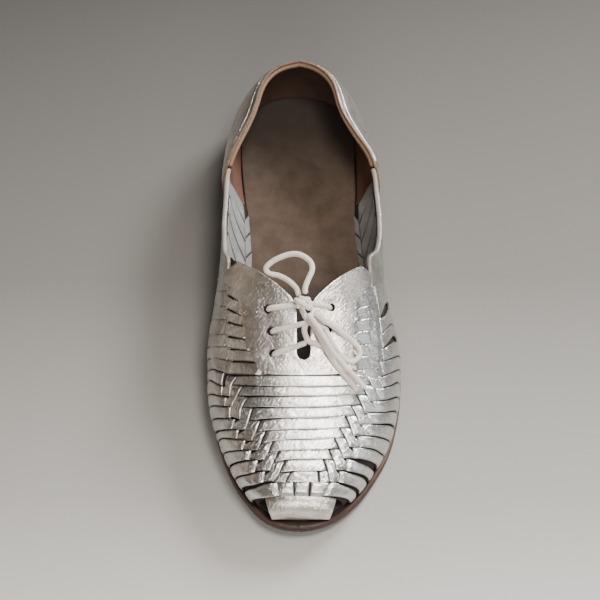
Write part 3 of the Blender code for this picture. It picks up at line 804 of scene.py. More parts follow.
# Gaps between the outer strips, from the lip down to the sole. The first of a side are the back ones.
STRIP_GAPS = {
    INNER: (
        ((115.9, 0.4), (120.3, 0.32), (127.5, 0.03)), ((111.4, 0.435), (115.5, 0.33), (122.5, 0.03)),
        ((104.4, 0.445), (109, 0.33), (116.5, 0.03)), ((97.9, 0.455), (101.5, 0.34), (109, 0.03)),
        ((90.8, 0.461), (94, 0.342), (102, 0.03)), ((84.8, 0.467), (88.3, 0.335), (95.5, 0.03)),
        ((77.8, 0.498), (82.3, 0.348), (88.8, 0.03)), ((70.8, 0.505), (76.8, 0.345), (82.5, 0.03)),
        ((65.7, 0.455), (72.3, 0.299), (76.5, 0.03)), ((59.7, 0.48), (64.7, 0.311), (70, 0.03)),
        ((54.7, 0.48), (58.7, 0.305), (63, 0.03)), ((47.7, 0.536), (51.7, 0.317), (56, 0.03)),
        ((42.2, 0.555), (45.2, 0.324), (49, 0.03)), ((36.1, 0.598), (41.2, 0.324), (44, 0.03)),
        ((31.1, 0.623), (34.6, 0.274), (37, 0.03)),
        ((26.1, 0.661), (27.1, 0.48), (28.1, 0.242), (29.5, 0.03)),
        ((20.6, 0.692), (20.6, 0.455), (22.1, 0.205), (23.5, 0.03)),
        ((15.3, 0.68), (14.8, 0.45), (16.4, 0.16), (17, 0.03)),
        ((9, 0.767), (9, 0.523), (10.6, 0.15), (11, 0.02)),
    ),
    OUTER: (
        ((113, 0.47), (117, 0.36), (122, 0.03)), ((99, 0.455), (105, 0.372), (110.6, 0.286), (115.4, 0.03)),
        ((90.8, 0.473), (99.4, 0.336), (105, 0.03)),
        ((83.8, 0.461), (88, 0.402), (92.8, 0.32), (97.7, 0.03)),
        ((77.8, 0.461), (85.8, 0.261), (91, 0.03)), ((69.8, 0.48), (79.8, 0.23), (84, 0.03)),
        ((63.7, 0.498), (66.8, 0.392), (72.3, 0.255), (75.5, 0.03)),
        ((56.7, 0.53), (59.2, 0.411), (64.7, 0.249), (68.5, 0.03)),
        ((50.2, 0.567), (53.2, 0.398), (57.2, 0.249), (60, 0.03)),
        ((44.2, 0.586), (46.2, 0.448), (49.2, 0.28), (52.5, 0.03)),
        ((38.1, 0.623), (40.1, 0.442), (41.7, 0.255), (44.5, 0.03)),
        ((32.6, 0.63), (34.1, 0.423), (34.6, 0.23), (37, 0.03)),
        ((26.9, 0.645), (27.1, 0.49), (27.6, 0.25), (29, 0.03)),
        ((20.9, 0.673), (20.9, 0.5), (21.6, 0.17), (22.5, 0.03)),
        ((15.5, 0.69), (15.1, 0.5), (15.3, 0.15), (15.5, 0.03)),
        ((9, 0.773), (9.6, 0.536), (10.6, 0.15), (11, 0.02)),
    ),
}

# Half the width of the gaps that stand open, at the points of their lines above.
OPEN = {
    INNER: {12: (0.1, 0.25, 1), 15: (0.15, 0.25, 0.4, 0.6), 17: (0.4, 0.7, 1, 1.2)},
    OUTER: {
        1: (0.4, 2, 1.2, 0.8),
        3: (0.1, 0.8, 1.5, 1.7),
        9: (0.1, 0.15, 0.5, 0.9),
        12: (0.2, 1, 1.5, 1.5),
        13: (0.15, 0.45, 0.8, 0.9),
        14: (0.15, 0.5, 0.8, 0.9),
    },
}

# Slits between the cells that come out of the throat plate, from the plate outwards.
CELL_GAPS = {
    INNER: (
        ((107.2, 0.64), (113.9, 0.498)), ((101.4, 0.636), (105.9, 0.536), (110.8, 0.44)),
        ((96.2, 0.636), (99.9, 0.542), (104.4, 0.445)), ((90.8, 0.665), (94.4, 0.542), (97.9, 0.455)),
        ((84.8, 0.67), (87.8, 0.548), (90.8, 0.461)), ((78.8, 0.705), (82.3, 0.542), (84.8, 0.467)),
        ((72.3, 0.767), (73.8, 0.686), (76.3, 0.555), (77.8, 0.49)),
        ((66.8, 0.765), (68.3, 0.636), (70.8, 0.5)),
    ),
    OUTER: (
        ((102.9, 0.712), (109.4, 0.54)), ((97.8, 0.706), (102.9, 0.54)), ((92.3, 0.716), (96.9, 0.545)),
        ((86.8, 0.738), (89.8, 0.605), (91, 0.545)), ((81.6, 0.706), (83.3, 0.611), (84.6, 0.545)),
        ((76.8, 0.706), (77.3, 0.642), (79.3, 0.545)), ((69.3, 0.729), (70.8, 0.642), (72.6, 0.545)),
        ((64.8, 0.735), (66.8, 0.605), (67.4, 0.52)),
    ),
}

# The shares at which the cells of the outer side end: back and front corner.
CELL_ENDS = (
    (0.545, 0.54), (0.545, 0.545), (0.565, 0.556), (0.58, 0.558), (0.6, 0.558), (0.595, 0.558),
    (0.636, 0.602),
)

# Beside those on the outer side runs one smooth band, down from the collar strap.
BAND_TOP = ((112, 0.585), (104, 0.585), (94, 0.6), (84, 0.61), (74, 0.625), (66.5, 0.64))
BAND_FOOT = ((112, 0.455), (104, 0.448), (94, 0.455), (84, 0.452), (74, 0.462), (66, 0.47))


def shifted(points, by):
    return [(t + by, p) for t, p in points]


def ridge_line(ridge, left, right, by):
    """A line over the ridge between an inner and an outer end, moved along the shoe."""
    ridge += by
    line = [(ridge + (left[0] + by - ridge) * q * q, (left[1] - 1) * q) for q in (1.0, 0.75, 0.5, 0.25)]
    line.append((ridge, 0.0))
    return line + [(ridge + (right[0] + by - ridge) * q * q, (1 - right[1]) * q) for q in (0.25, 0.5, 0.75, 1.0)]


BAR_GAP = 0.06


def vamp_bars(shell):
    heights = ((0, -0.25), (0.03, 0.0), (0.15, 0.06), (0.5, 0.1), (0.85, 0.06), (0.97, 0.0), (1, -0.25))
    for k, (back, front, left, right) in enumerate(ROWS_OF_BARS):
        edges = ridge_line(back, left[0], right[0], -BAR_GAP), ridge_line(front, left[1], right[1], BAR_GAP)
        # Painted shade along the gaps between the bars and at their ends.
        strip(shell, None, *edges, heights, 1.1, crown=0.08, ripple=0.13, cell=3.6, seed=11 + k,
              along=50, across=9, dark=(0.35, 0.35, 0.1), rim=0.24)


def strands(shell, side):
    """Short strands that run outwards from between two bar ends, and dive at the next gap."""
    heights = ((0, -1.3), (0.05, -1.0), (0.13, -0.3), (0.3, 0.1), (0.75, 0.18), (0.92, 0.05), (1, -0.3))
    ends = [row[2] if side == INNER else row[3] for row in ROWS_OF_BARS]
    corners = [end[1] for end in ends]
    gaps = STRIP_GAPS[side][-len(ends) - 1:]
    dives = [np.array(gap[0]) + 0.28 * (np.array(corner) - gap[0]) for gap, corner in zip(gaps, corners)]
    starts = [CELL_GAPS[side][-1][-1], *corners]
    for k, (start, top, corner) in enumerate(zip(starts, [end[0] for end in ends], corners)):
        edge_a = [(start[0] + 0.5, start[1] + 0.004), (start[0] - 0.1, start[1] - 0.004), dives[k]]
        edge_b = [(top[0] + 0.5, top[1] - 0.004), (top[0] - 0.1, top[1] - 0.010),
                  (corner[0] - 0.3, corner[1] - 0.010)]
        if k + 1 < len(ends):
            lip_top, lip_end = np.array(LIPS[side][k - len(ends)])
            edge_a += [lip_top + 0.4 * (lip_end - lip_top) - (0, 0.012), lip_end - (0, 0.012)]
            edge_b.append(dives[k + 1] + (0.15, 0))
        # Painted shade: a near-black line where each strand comes out from under its bar, and lighter shade at its
        # end and sides.
        strip(shell, side, edge_a, edge_b, heights, 1.0, crown=0.2, ripple=0.2, cell=2.0, grooves=0.06,
              seed=31 + k, along=30, across=10, dark=(1.0, 0.3, 0.1), rim=0.22, corners=True)


# Half the width of a plain gap at the points of its line, and of those at the back of the inner side at
# these shares. Under 0 the strips lap.
PLAIN_GAP = (0.1, 0.2, 0.28, 0.33)
BACK_GAP = ((0.03, 0.35), (0.26, 0.3), (0.31, 0.05), (0.35, -0.6), (0.44, -0.5), (0.5, 0.1))
FRONT_GAPS = 12
LIP = ((0, -0.1), (0.02, 0.12), (0.1, 0.7), (0.16, 0.64), (0.3, 0.25), (0.6, 0.15), (1, 0.0))
LOW_LIP = ((0, -0.1), (0.02, 0.05), (0.1, 0.36), (0.16, 0.32), (0.3, 0.2), (0.6, 0.15), (1, 0.0))
NO_LIP = ((0, -0.35), (0.12, 0.0), (0.3, 0.12), (0.6, 0.15), (1, 0.0))


def along_gap(gap, half, place, sign):
    """A gap's edge from a lip at this share outwards, half its width to one side of its line."""
    t, p = np.array(gap).T
    places = np.append(np.arange(place, 0.05, -0.04), 0.03)
    stations = np.interp(places, p[::-1], t[::-1])
    shares, widths = (p[::-1], half[::-1]) if half else zip(*BACK_GAP)
    return list(zip(stations + sign * np.interp(places, shares, widths), places))


def outer_strips(shell, side):
    gaps, lips = STRIP_GAPS[side], LIPS[side]
    first_lip, first_front = len(gaps) - 1 - len(lips), len(gaps) - FRONT_GAPS

    def edge(k, corner, sign):
        plain = None if side == INNER and k < first_front else PLAIN_GAP[:len(gaps[k])]
        return along_gap(gaps[k], OPEN[side].get(k, plain), corner[1], sign)

    for k in range(len(gaps) - 1):
        back, front = lips[k - first_lip] if k >= first_lip else (gaps[k][0], gaps[k + 1][0])
        heights = LOW_LIP if side == OUTER and k < first_lip + 8 else LIP
        smooth = side == INNER and k < first_front
        # Painted shade: the smooth back strips of the inner side are darkened as a whole (tone 0.78), and every
        # strip at its end and sides.
        strip(shell, side, edge(k, back, -1), edge(k + 1, front, 1), NO_LIP if k < first_front else heights, 1.2,
              crown=0.06 if smooth else 0.2, ripple=0.16, cell=3.2, seed=61 + k, along=44, across=9,
              tone=0.78 if smooth else 1.0, dark=(0.05, 0.5, 0.3 if smooth else 0.6), rim=0.34)


# How far the cells reach in under the plate, and how much their ends slant.
OVER = 0.034
SLANT_IN = 0.022


def cut_off(line, share):
    """The part of a gap line above this share, ended on it."""
    t, p = np.array(line).T
    end = float(np.interp(share, p[::-1], t[::-1]))
    return [point for point in line if point[1] > share + 0.01] + [(end, share)]


def plate_cells(shell, side):
    """The cells beside the throat plate, and the folds of the plate that they come out of."""
    # dark is painted shade in the slits along the cells' long sides: deep on the inner side, lighter on the outer.
    open_by, dark, ends = 0.17, 0.9, ((0.8, 0.04), (1, -0.35))
    if side == OUTER:
        open_by, dark, ends = 0.06, 0.5, ((0.9, 0.12), (1, 0.0))
    heights = ((0, 0.24), (0.02, 0.42), (0.13, 1.0), (0.18, 0.9), (0.36, 0.3), (0.5, 0.12), *ends)
    gaps = CELL_GAPS[side]
    for k, (back, front) in enumerate(zip(gaps, gaps[1:])):
        (t0, p0), (t1, p1) = back[0], front[0]
        if side == OUTER:
            back, front = (cut_off(line, share) for line, share in zip((back, front), CELL_ENDS[k]))
        p0, p1 = p0 + OVER, p1 - SLANT_IN
        edge_a = shifted([(t0, p0), *back], -open_by)
        edge_b = shifted([(t1, p1)] + [point for point in front if point[1] < p1 - 0.01], open_by)
        strip(shell, side, edge_a, edge_b, heights, 0.8, crown=0.06, ripple=0.10, cell=2.8, seed=91 + k,
              along=60, across=9, dark=(0.0, 0.1, dark), rim=0.16)
        if k >= 2 or side == OUTER:
            wide = 0.045 if k == 6 else 0.022
            edges = [((t0 - 0.1, p0 + more), (t1 + 0.3, p1 + more)) for more in (wide, 0.005)]
            strip(shell, side, *edges, ((0, 0.0), (0.15, 0.22), (0.85, 0.22), (1, 0.0)), 0.6, crown=0.34,
                  seed=111 + k, along=14, across=9, rim=0.15)


def side_band(shell):
    # Painted shade, light, at the band's ends and sides.
    strip(shell, OUTER, BAND_TOP, BAND_FOOT, ((0, -0.5), (0.1, -0.3), (0.9, -0.25), (1, -0.4)), 1.1, crown=0.1,
          ripple=0.25, cell=3.0, seed=121, along=90, across=12, dark=(0.1, 0.1, 0.05), rim=0.45)


# Plan x of both edges of each toe loop, at its top and at its foot.
LOOPS = (((-14.0, -6.4), (-12.6, -6.0)), ((-5.9, 1.2), (-5.7, 0.8)), ((1.9, 10.4), (1.5, 8.0)))
LOOP_TOP = 14.4
LOOP_LENGTH = 5.4


def toe_loops(shell):
    """Three upright loops between the last bar and the toe strap."""
    heights = ((0, -0.5), (0.1, 0.1), (0.35, 0.3), (0.7, 0.1), (1, -0.9))
    for k, (tops, feet) in enumerate(LOOPS):
        edges = [], []
        for q in (-0.1, 0.3, 0.7, 1.1):
            t = LOOP_TOP - LOOP_LENGTH * q
            for edge, top, foot in zip(edges, tops, feet):
                edge.append((t, place_of(t, top + (foot - top) * q)))
        # Painted shade at the loops' ends and sides.
        strip(shell, None, *edges, heights, 1.1, crown=0.3, ripple=0.12, cell=2.4, seed=141 + k,
              along=16, across=11, dark=(0.3, 0.3, 0.4), rim=0.4)


SKIN = -0.95


def base_skin(shell):
    """The backing under the weave, a little below the form, from the toe to the heel; its near-black colour is
    painted shade in the gaps.
    """
    stations = np.concatenate([np.linspace(8.6, 72.5, 44), np.linspace(73.5, 184.0, 76)])
    for side in SIDES:
        tops = np.where(stations <= SLOT_END, 1.0, top_at(stations, side) * 0.94)
        t, p = np.broadcast_arrays(stations[:, None], tops[:, None] * np.linspace(0.0, 1.0, 26) ** 0.95)
        w = side * (1 - p)
        shell.sheet(surface(t, w, SKIN), surface(t, w, SKIN - 0.6), np.ones_like(p))


# ---------------------------------------------------------------- throat plate

# The plate's outer margin from its lower corner up to the tip of the flap.
PLATE_MARGIN = {
    INNER: (
        (67.3, 0.773), (70, 0.745), (76, 0.722), (81, 0.688), (87.5, 0.662), (93, 0.652), (99, 0.628),
        (105, 0.605), (110, 0.545), (114.5, 0.462), (119.5, 0.425),
    ),
    OUTER: (
        (68.2, 0.735), (72, 0.722), (78, 0.722), (84, 0.728), (89, 0.728), (94, 0.716), (99, 0.71),
        (104, 0.67), (108, 0.59), (112.5, 0.52), (117.4, 0.505),
    ),
}
PLATE_FOOT = 65.8
PLATE_TIP = {INNER: 121.5, OUTER: 118.4}


PLATE_COLUMNS = 22


def plate_row(station, end, side):
    """Both ends of a row across a flap as stations and shares, and how its points crowd inwards."""
    margin = np.array(PLATE_MARGIN[side])
    late = max(0.0, (station - 95) / (end - 95))
    t_in = station + (PLATE_TIP[side] - end) * late**1.5
    t_out = margin[0, 0] + (margin[-1, 0] - margin[0, 0]) * ((station - PLATE_FOOT) / (end - PLATE_FOOT))
    under = 0.022 * np.clip((t_out - 69) / 2, 0, 1) * np.clip((109 - t_out) / 3, 0, 1)
    p_in = 1.0 if t_in <= SLOT_END else float(top_at(t_in, side))
    if SLOT_END < t_in < 90:
        p_in = slot_share(t_in, side)
    power = 1 + max(0.0, 1 - (station - PLATE_FOOT) / 14)
    return t_in, p_in, t_out, np.interp(t_out, *margin.T) - under, power


def plate_grid():
    """The flaps' points as (station, place), and their faces. They share the ridge before the slot."""
    close = SLOT_END + np.array([0.06, 0.22, 0.5, 0.9, 1.5, 2.3, 3.3, 4.3, 5.5])
    foot = [PLATE_FOOT, PLATE_FOOT + 0.35, PLATE_FOOT + 1.0]
    stations = np.concatenate([foot, np.linspace(68.0, SLOT_END, 6), close,
                               np.linspace(79.8, PLATE_TIP[INNER], 30)])
    index, points, faces = {}, [], []
    for side in SIDES:
        for i, station in enumerate(stations):
            t_in, p_in, t_out, p_out, power = plate_row(station, stations[-1], side)
            for j in range(PLATE_COLUMNS + 1):
                share = j / PLATE_COLUMNS
                key = (i, 0 if j == 0 and t_in <= SLOT_END else side, j)
                if key not in index:
                    index[key] = len(points)
                    p = p_in + (p_out - p_in) * share
                    points.append((t_in + (t_out - t_in) * share**power, side * (1 - p)))
        for i, j in product(range(len(stations) - 1), range(PLATE_COLUMNS)):
            corners = ((i, j), (i + 1, j), (i + 1, j + 1), (i, j + 1))
            faces.append([index.get((a, 0, b), index.get((a, side, b))) for a, b in corners][::side])
    return np.array(points), faces


def throat_plate():
    """The flaps beside the lace slot: one sheet, joined in front of the slot."""
    grid, faces = plate_grid()
    flat = surface(*grid.T, 0.0)
    dents = (creased(flat, 6.5, 201) - 0.55) * 0.20 + (creased(flat, 2.3, 202) - 0.55) * 0.06
    slump = 0.35 * np.exp(-(((grid[:, 0] - 71.5) / 2.5) ** 2) - (grid[:, 1] / 0.05) ** 2)
    for x, u in EYELETS:
        dents -= 0.4 * np.exp(-((np.hypot(flat[:, 0] - x, flat[:, 1] - u) / 3.2) ** 2))
    mesh = bpy.data.meshes.new("throat_plate")
    mesh.from_pydata(to_world(surface(*grid.T, 0.42 + dents - slump)).tolist(), [], faces)
    paint(mesh, np.ones(len(grid)), np.zeros(len(grid)))
    plate = place_piece("throat_plate", mesh, "plate")
    mesh.materials.append(FINISHES["cut"])
    modify(plate, "SOLIDIFY", thickness=1.3 * MM, offset=-1, use_even_offset=True, material_offset_rim=1)
    modify(plate, "BEVEL", width=0.3 * MM, segments=2, limit_method="ANGLE", angle_limit=np.radians(55))
    for x, u in EYELETS:
        punch(plate, x, u)
    smoothed(plate.data)


def modify(obj, kind, **settings):
    made = obj.modifiers.new(kind.lower(), kind)
    for key, value in settings.items():
        setattr(made, key, value)


def punch(plate, x, u):
    """Cuts one round hole through the plate."""
    low, high = (surface(u, place_of(u, x), height) for height in (-4.0, 4.0))
    mesh = bpy.data.meshes.new("punch")
    work = bmesh.new()
    bmesh.ops.create_cone(work, cap_ends=True, segments=28, radius1=EYELET * MM, radius2=EYELET * MM, depth=8 * MM)
    work.to_mesh(mesh)
    work.free()
    cutter = linked("punch", mesh)
    cutter.location = Vector(to_world((low + high) / 2))
    cutter.rotation_euler = Vector(high - low).normalized().to_track_quat("Z", "Y").to_euler()
    bpy.context.view_layer.update()
    modify(plate, "BOOLEAN", operation="DIFFERENCE", solver="EXACT", object=cutter)
    bake_modifiers(plate)
    bpy.data.objects.remove(cutter, do_unlink=True)


def bake_modifiers(obj):
    """Puts the evaluated shape into the object's own mesh."""
    bpy.context.view_layer.update()
    graph = bpy.context.evaluated_depsgraph_get()
    mesh = bpy.data.meshes.new_from_object(obj.evaluated_get(graph))
    obj.modifiers.clear()
    obj.data = mesh


# ---------------------------------------------------------------- toe


def station_at(u):
    return (u - LEDGE) / (1 - LEDGE / TOE_ROUND) if u < TOE_ROUND else u


STRAP_WIDTH = 32.0
STRAP_DROP = 15.0


def toe_strap(shell):
    """A wide strap that leaves the form under the loops and drops straight to the sole's edge."""
    s, q = np.meshgrid(spaced(STRAP_WIDTH, 30, 0.5), spaced(STRAP_DROP, 18, 0.5), indexing="ij")
    t = station_at(11.2)
    top_x, foot_x = -19.7 + 33.6 * s, -16.7 + 27.6 * s
    line = np.array([surface(t, place_of(t, float(x)), 0.0) for x in top_x[:, 0]])[:, None]
    start = np.repeat(line - (0, 0, 0.9), s.shape[1], axis=1)
    start[..., 0] = top_x
    foot = np.stack([foot_x, np.full_like(s, 3.9), np.full_like(s, 13.2)], -1)
    bend = np.stack([(top_x + foot_x) / 2, np.full_like(s, 4.9), start[..., 2] * 0.93 + 0.6], -1)
    down = q[..., None]
    middle = start * (1 - down) ** 2 + bend * 2 * down * (1 - down) + foot * down**2
    normal = np.cross(np.gradient(middle, axis=0), np.gradient(middle, axis=1))
    normal /= np.linalg.norm(normal, axis=-1, keepdims=True)
    normal *= np.sign(normal[..., 2:3] + 1e-9)
    side, end = np.minimum(s, 1 - s) * STRAP_WIDTH, np.minimum(q, 1 - q) * STRAP_DROP
    rise = 0.35 * (creased(middle, 3.6, 171) - 0.5) * np.clip(np.minimum(side, end) / 1.5, 0.3, 1)
    half = 0.65 * rounding(0.5, side, end)
    top, bottom = (middle + normal * (rise + by)[..., None] for by in (half, -half))
    # Painted shade: darker near the top of the drop, where the strap bends under the loops.
    shell.sheet(top, bottom, 1 - 0.3 * np.exp(-((q * STRAP_DROP / 1.5) ** 2)))


# ---------------------------------------------------------------- quarters and heel

STRAP_TOP_FRONT = {
    INNER: ((101, 0.465), (106, 0.478), (111, 0.482), (116, 0.472), (121, 0.456), (126, 0.442)),
    OUTER: ((108, 0.49), (112, 0.497), (116, 0.497), (121, 0.492), (126, 0.48)),
}
STRAP_FOOT = {
    INNER: (
        (101, 0.33), (107, 0.33), (112, 0.32), (117, 0.3), (123, 0.27), (132, 0.205), (142, 0.186),
        (157, 0.19), (167, 0.215), (178, 0.27),
    ),
    OUTER: (
        (108, 0.385), (112, 0.31), (117, 0.275), (123, 0.262), (132, 0.215), (142, 0.186), (157, 0.19),
        (167, 0.215), (178, 0.27),
    ),
}


def collar_strap(shell, side):
    """The strap along the collar, from the heel counter to the corner of the vamp."""
    lift = (0.060, 0.050, 0.038, 0.026, 0.014) if side == OUTER else (0.048, 0.040, 0.030, 0.020, 0.010)
    back = [(t, float(top_at(t, side)) + 0.004) for t in (132, 139, 146, 153, 160, 167, 174, 180)]
    back[:len(lift)] = [(t, p + more) for (t, p), more in zip(back, lift)]
    # Painted shade at the strap's ends; tone 0.72 darkens the whole strap.
    strip(shell, side, [*STRAP_TOP_FRONT[side], *back], STRAP_FOOT[side],
          ((0, -1.7), (0.06, -1.2), (0.14, -0.9), (0.26, -0.4), (1, -0.4)), 2.3, crown=0.15, ripple=0.12, cell=2.6,
          seed=181 + side, along=100, across=10, tone=0.72, dark=(0.1, 0.1, 0.0), raw=0.6)


def quarter_outside(shell, side):
    """Slanting strips between the collar strap and the sole."""
    first = STRIP_GAPS[side][0]
    lines = [((t, 0.31 if t < 124 else 0.235), (t + 5, 0.13), (t + 9, 0.03)) for t in np.arange(116.5, 174, 6.9)]
    lines = [first] + [line for line in lines if line[0][0] > first[0][0] + 3]
    for k, (front, back) in enumerate(zip(lines, lines[1:])):
        # Painted shade at the strips' ends and sides.
        strip(shell, side, shifted(front, 0.35), shifted(back, -0.35),
              ((0, -0.5), (0.15, 0.0), (0.5, 0.15), (1, 0.0)), 1.2, crown=0.35, ripple=0.22, cell=3.0,
              seed=211 + k, along=22, across=8, dark=(0.6, 0.6, 0.6))


WEAVE = 10.6
WEAVE_START = 164.5


def quarter_inside(shell, side):
    """What shows inside: long strips down from the strap, over short ones along the footbed."""
    for k in range(7):
        tip = WEAVE_START - WEAVE * k
        line = ((tip - 0.3 + 9.2, -0.006), (tip - 0.3, 0.046), (tip - 3.3, 0.066))
        # Painted shade at the strips' ends and sides, strongest along the sides.
        strip(shell, side, line, shifted(line, 0.7 - WEAVE), ((0, -2.0), (0.6, -1.9), (1, -1.7)), 0.9, crown=0.1,
              ripple=0.15, cell=3.0, seed=231 + k, along=12, across=8, dark=(0.4, 0.6, 0.8))
    for k in range(-1, 7):
        foot = WEAVE_START - WEAVE * k
        points = ((foot - 0.5, 0.032), (foot + 2.0, 0.061), (foot + 8.5, 0.135), (foot + 15.0, 0.215))
        line = [(min(t, 181.3), p) for t, p in points]
        # Painted shade at the strips' ends and sides, strongest along the sides.
        strip(shell, side, line, shifted(line, 0.7 - WEAVE), ((0, -2.1), (0.15, -2.5), (0.6, -2.3), (1, -1.7)), 0.9,
              crown=0.1, ripple=0.18, cell=3.4, seed=251 + k, along=20, across=8, dark=(0.5, 0.3, 0.8))


LINING_FRONT = (
    (0.004, 177.8), (0.04, 176.3), (0.078, 175.6), (0.104, 179.6), (0.14, 182.6), (0.18, 184.3),
    (0.24, 184), (0.33, 182), (0.42, 181),
)
COUNTER_FRONT = ((0, 174), (0.2, 170.2), (0.45, 168.5), (0.8, 174), (1, 181))


def counter_front(at, side):
    return np.interp(at, *np.array(COUNTER_FRONT).T)


def lining_front(at, side):
    return np.interp(at * float(top_at(180.0, side)), *np.array(LINING_FRONT).T)


def heel_layer(shell, front, mid, thick, low, high, seed, ripple, raw, back_shade=0.0, rows=22):
    """A sheet round the heel between two shares of the wall, from a front edge to the back seam."""
    q = np.concatenate([[0, 0.004, 0.012], np.linspace(0.03, 1, 60)])[:, None]
    up = np.concatenate([[0, 0.008, 0.022], np.linspace(0.05, 0.95, rows), [0.978, 0.992, 1.0]])
    at = low + (high - low) * up
    for side in SIDES:
        start = front(at, side) + np.zeros_like(at)
        t = start + (BACK - start) * q
        w = side * (1 - top_at(t, side) * at)
        flat = surface(t, w, 0.0)
        from_low, from_front = lengths_along(flat, 1), lengths_along(flat, 0)
        from_top = from_low[:, -1:] - from_low
        rise = mid + ripple * (creased(flat, 6.0, seed) - 0.55) * np.clip(from_top / 4, 0.3, 1)
        # Painted shade: darker along the front edge and, by the given amount, towards the back seam, where the
        # heel's inside lies in shade.
        shade = (1 - 0.4 * np.exp(-((from_front / 0.8) ** 2))) * (1 - back_shade * np.clip((t - 192) / 30, 0, 1))
        cut = raw * np.clip(1.6 - np.minimum(from_top, from_front) / (thick * 0.42), 0, 1)
        shell.slab(t, w, rise, thick, shade, cut, rounding(thick * 0.5, from_top, from_low, from_front))


# ---------------------------------------------------------------- sole


SOLE_STATIONS = np.concatenate([
    TOE_ROUND * (1 - np.cos(np.linspace(0.006, 1, 36) * np.pi / 2)),
    np.linspace(TOE_ROUND, TURN, 60)[1:],
    np.linspace(TURN, BACK - 0.4, 26)[1:],
])


def layer(shell, inset, base, thickness, ease, wave=0.0, tread=0.0, bow=0.0, tone=((0, 1.0),), ledge=None):
    """A layer of the sole with eased edges, as a closed loft from toe to heel."""
    profile = [(ease, 0.0), (ease * 0.3, ease * 0.3), (0.0, ease), (-bow, thickness / 2),
               (0.0, thickness - ease), (ease * 0.3, thickness - ease * 0.3), (ease, thickness)]
    # With a ledge, the top inside it is made near black: partly painted shade under the upper, partly the dark top
    # that shows through the toe openings.
    lit = [1.0] * len(profile)
    if ledge:
        profile += [(ledge, thickness), (ledge + 0.4, thickness)]
        lit += [1.0, 0.02]
    q = np.linspace(0, 1, 15)[1:-1, None]
    rings = []
    for t in SOLE_STATIONS:
        sides = []
        for side in SIDES:
            x, u = np.transpose([outline(t, side, inset + more) for more, _ in profile])
            sides.append(np.stack([x, u, base(u) + [rise for _, rise in profile]], -1))
        left, right = sides
        bottom, top = right[0] * q + left[0] * (1 - q), left[-1] * q + right[-1] * (1 - q)
        rings.append(np.concatenate([left[::-1], bottom, right, top]))
    points = np.array(rings)
    points[..., 2] += value_noise(points / 14.0, 5) * wave
    under = slice(len(profile), len(profile) + len(q))
    fade = np.clip(np.minimum(SOLE_STATIONS - 6, BACK - 6 - SOLE_STATIONS) / 10, 0, 1)[:, None]
    points[:, under, 2] += np.maximum(0, np.sin(points[:, under, 1] * 2 * np.pi / 5.0)) ** 4 * tread * fade
    around = np.concatenate([lit[::-1], np.ones(len(q)), lit, np.full(len(q), lit[-1])])
    shell.loft(points, np.interp(SOLE_STATIONS, *np.array(tone, float).T)[:, None] * around)


def heel_stack(shell):
    """Lifts of leather under the heel seat, on a dark top piece, narrower towards the ground."""
    lifts = (0.0, 2.8, 5.2, 7.6, HEEL_BLOCK)
    for low, high in zip(lifts, lifts[1:]):
        rings = []
        for q, more in ((0.02, 0.3), (0.1, 0.06), (0.5, 0.0), (0.9, 0.06), (0.98, 0.3)):
            z = low + (high - low) * q
            inset = np.interp(z, (0, 0.6, HEEL_BLOCK), (1.6, 1.0, 0.3)) + more
            stations = np.concatenate([np.linspace(HEEL_FRONT + more, TURN, 12),
                                       np.linspace(TURN, BACK - 1.0, 26)[1:]])
            inside, outside = ([(*outline(t, side, inset), z) for t in stations] for side in SIDES)
            rings.append(inside + outside[::-1])
        rings = np.array(rings, float)
        # The bottom lift's 0.25 is not shade: it is the dark top piece's own colour, carried in the shade
        # attribute.
        shell.loft(rings, np.full(rings.shape[:2], 1.0 if low else 0.25))


# ---------------------------------------------------------------- put together

set_camera()

FINISHES = {
    "silver": silver_leather("silver_foil_leather", (0.68, 0.65, 0.61), (0.87, 0.86, 0.84), 0.25),
    "plate": silver_leather("silver_plate_leather", (0.64, 0.585, 0.52), (0.84, 0.80, 0.755), 0.26, 1.3),
    "facing": plain_leather("strap_reverse_leather", (0.27, 0.275, 0.265), (0.40, 0.405, 0.39), 0.42, 700, 0.10),
    "cut": plain_leather("cut_leather_edge", (0.26, 0.17, 0.12), (0.40, 0.28, 0.21), 0.8, 1400, 0.08),
    # The backing's near-black colour is painted shade for the gaps in the weave; the sheet also stands for the
    # lining inside.
    "backing": plain_leather("weave_backing", (0.012, 0.009, 0.007), (0.03, 0.022, 0.018), 0.8, 700, 0.1),
    "bed": plain_leather("footbed_suede", (0.088, 0.055, 0.035), (0.14, 0.094, 0.064), 0.72, 900, 0.12),
    "lining": plain_leather("counter_lining_leather", (0.10, 0.040, 0.022), (0.16, 0.072, 0.044), 0.6, 800, 0.08,
                            (0.20, 0.115, 0.07)),
    "edge": plain_leather("waxed_leather_edge", (0.06, 0.027, 0.016), (0.115, 0.055, 0.036), 0.42, 600, 0.1),
    "stack": stacked("stacked_heel_leather"),
    "rubber": rubber("dark_sole_rubber"),
    "cord": cord_cotton("cream_cotton_cord"),
}

cords = {name: joined(name + "_cord", "cord", partial(tube, points=points), slot="lace_cord", replaces=(name,))
         for name, points in CORDS.items()}
turns = [partial(tube, points=np.array(turn) + KNOT_PLACE) for turn in KNOT_TURNS]
knot = joined("lace_knot_cord", "cord", *turns, slot="lace_cord", replaces=("lace_knot",))

for name, far in (("lace_loop_up", "object"), ("lace_loop_low", "object"),
                  ("lace_end_a", "bare"), ("lace_end_b", "bare")):
    route = to_world(smooth_route(CORDS[name], 1.5))

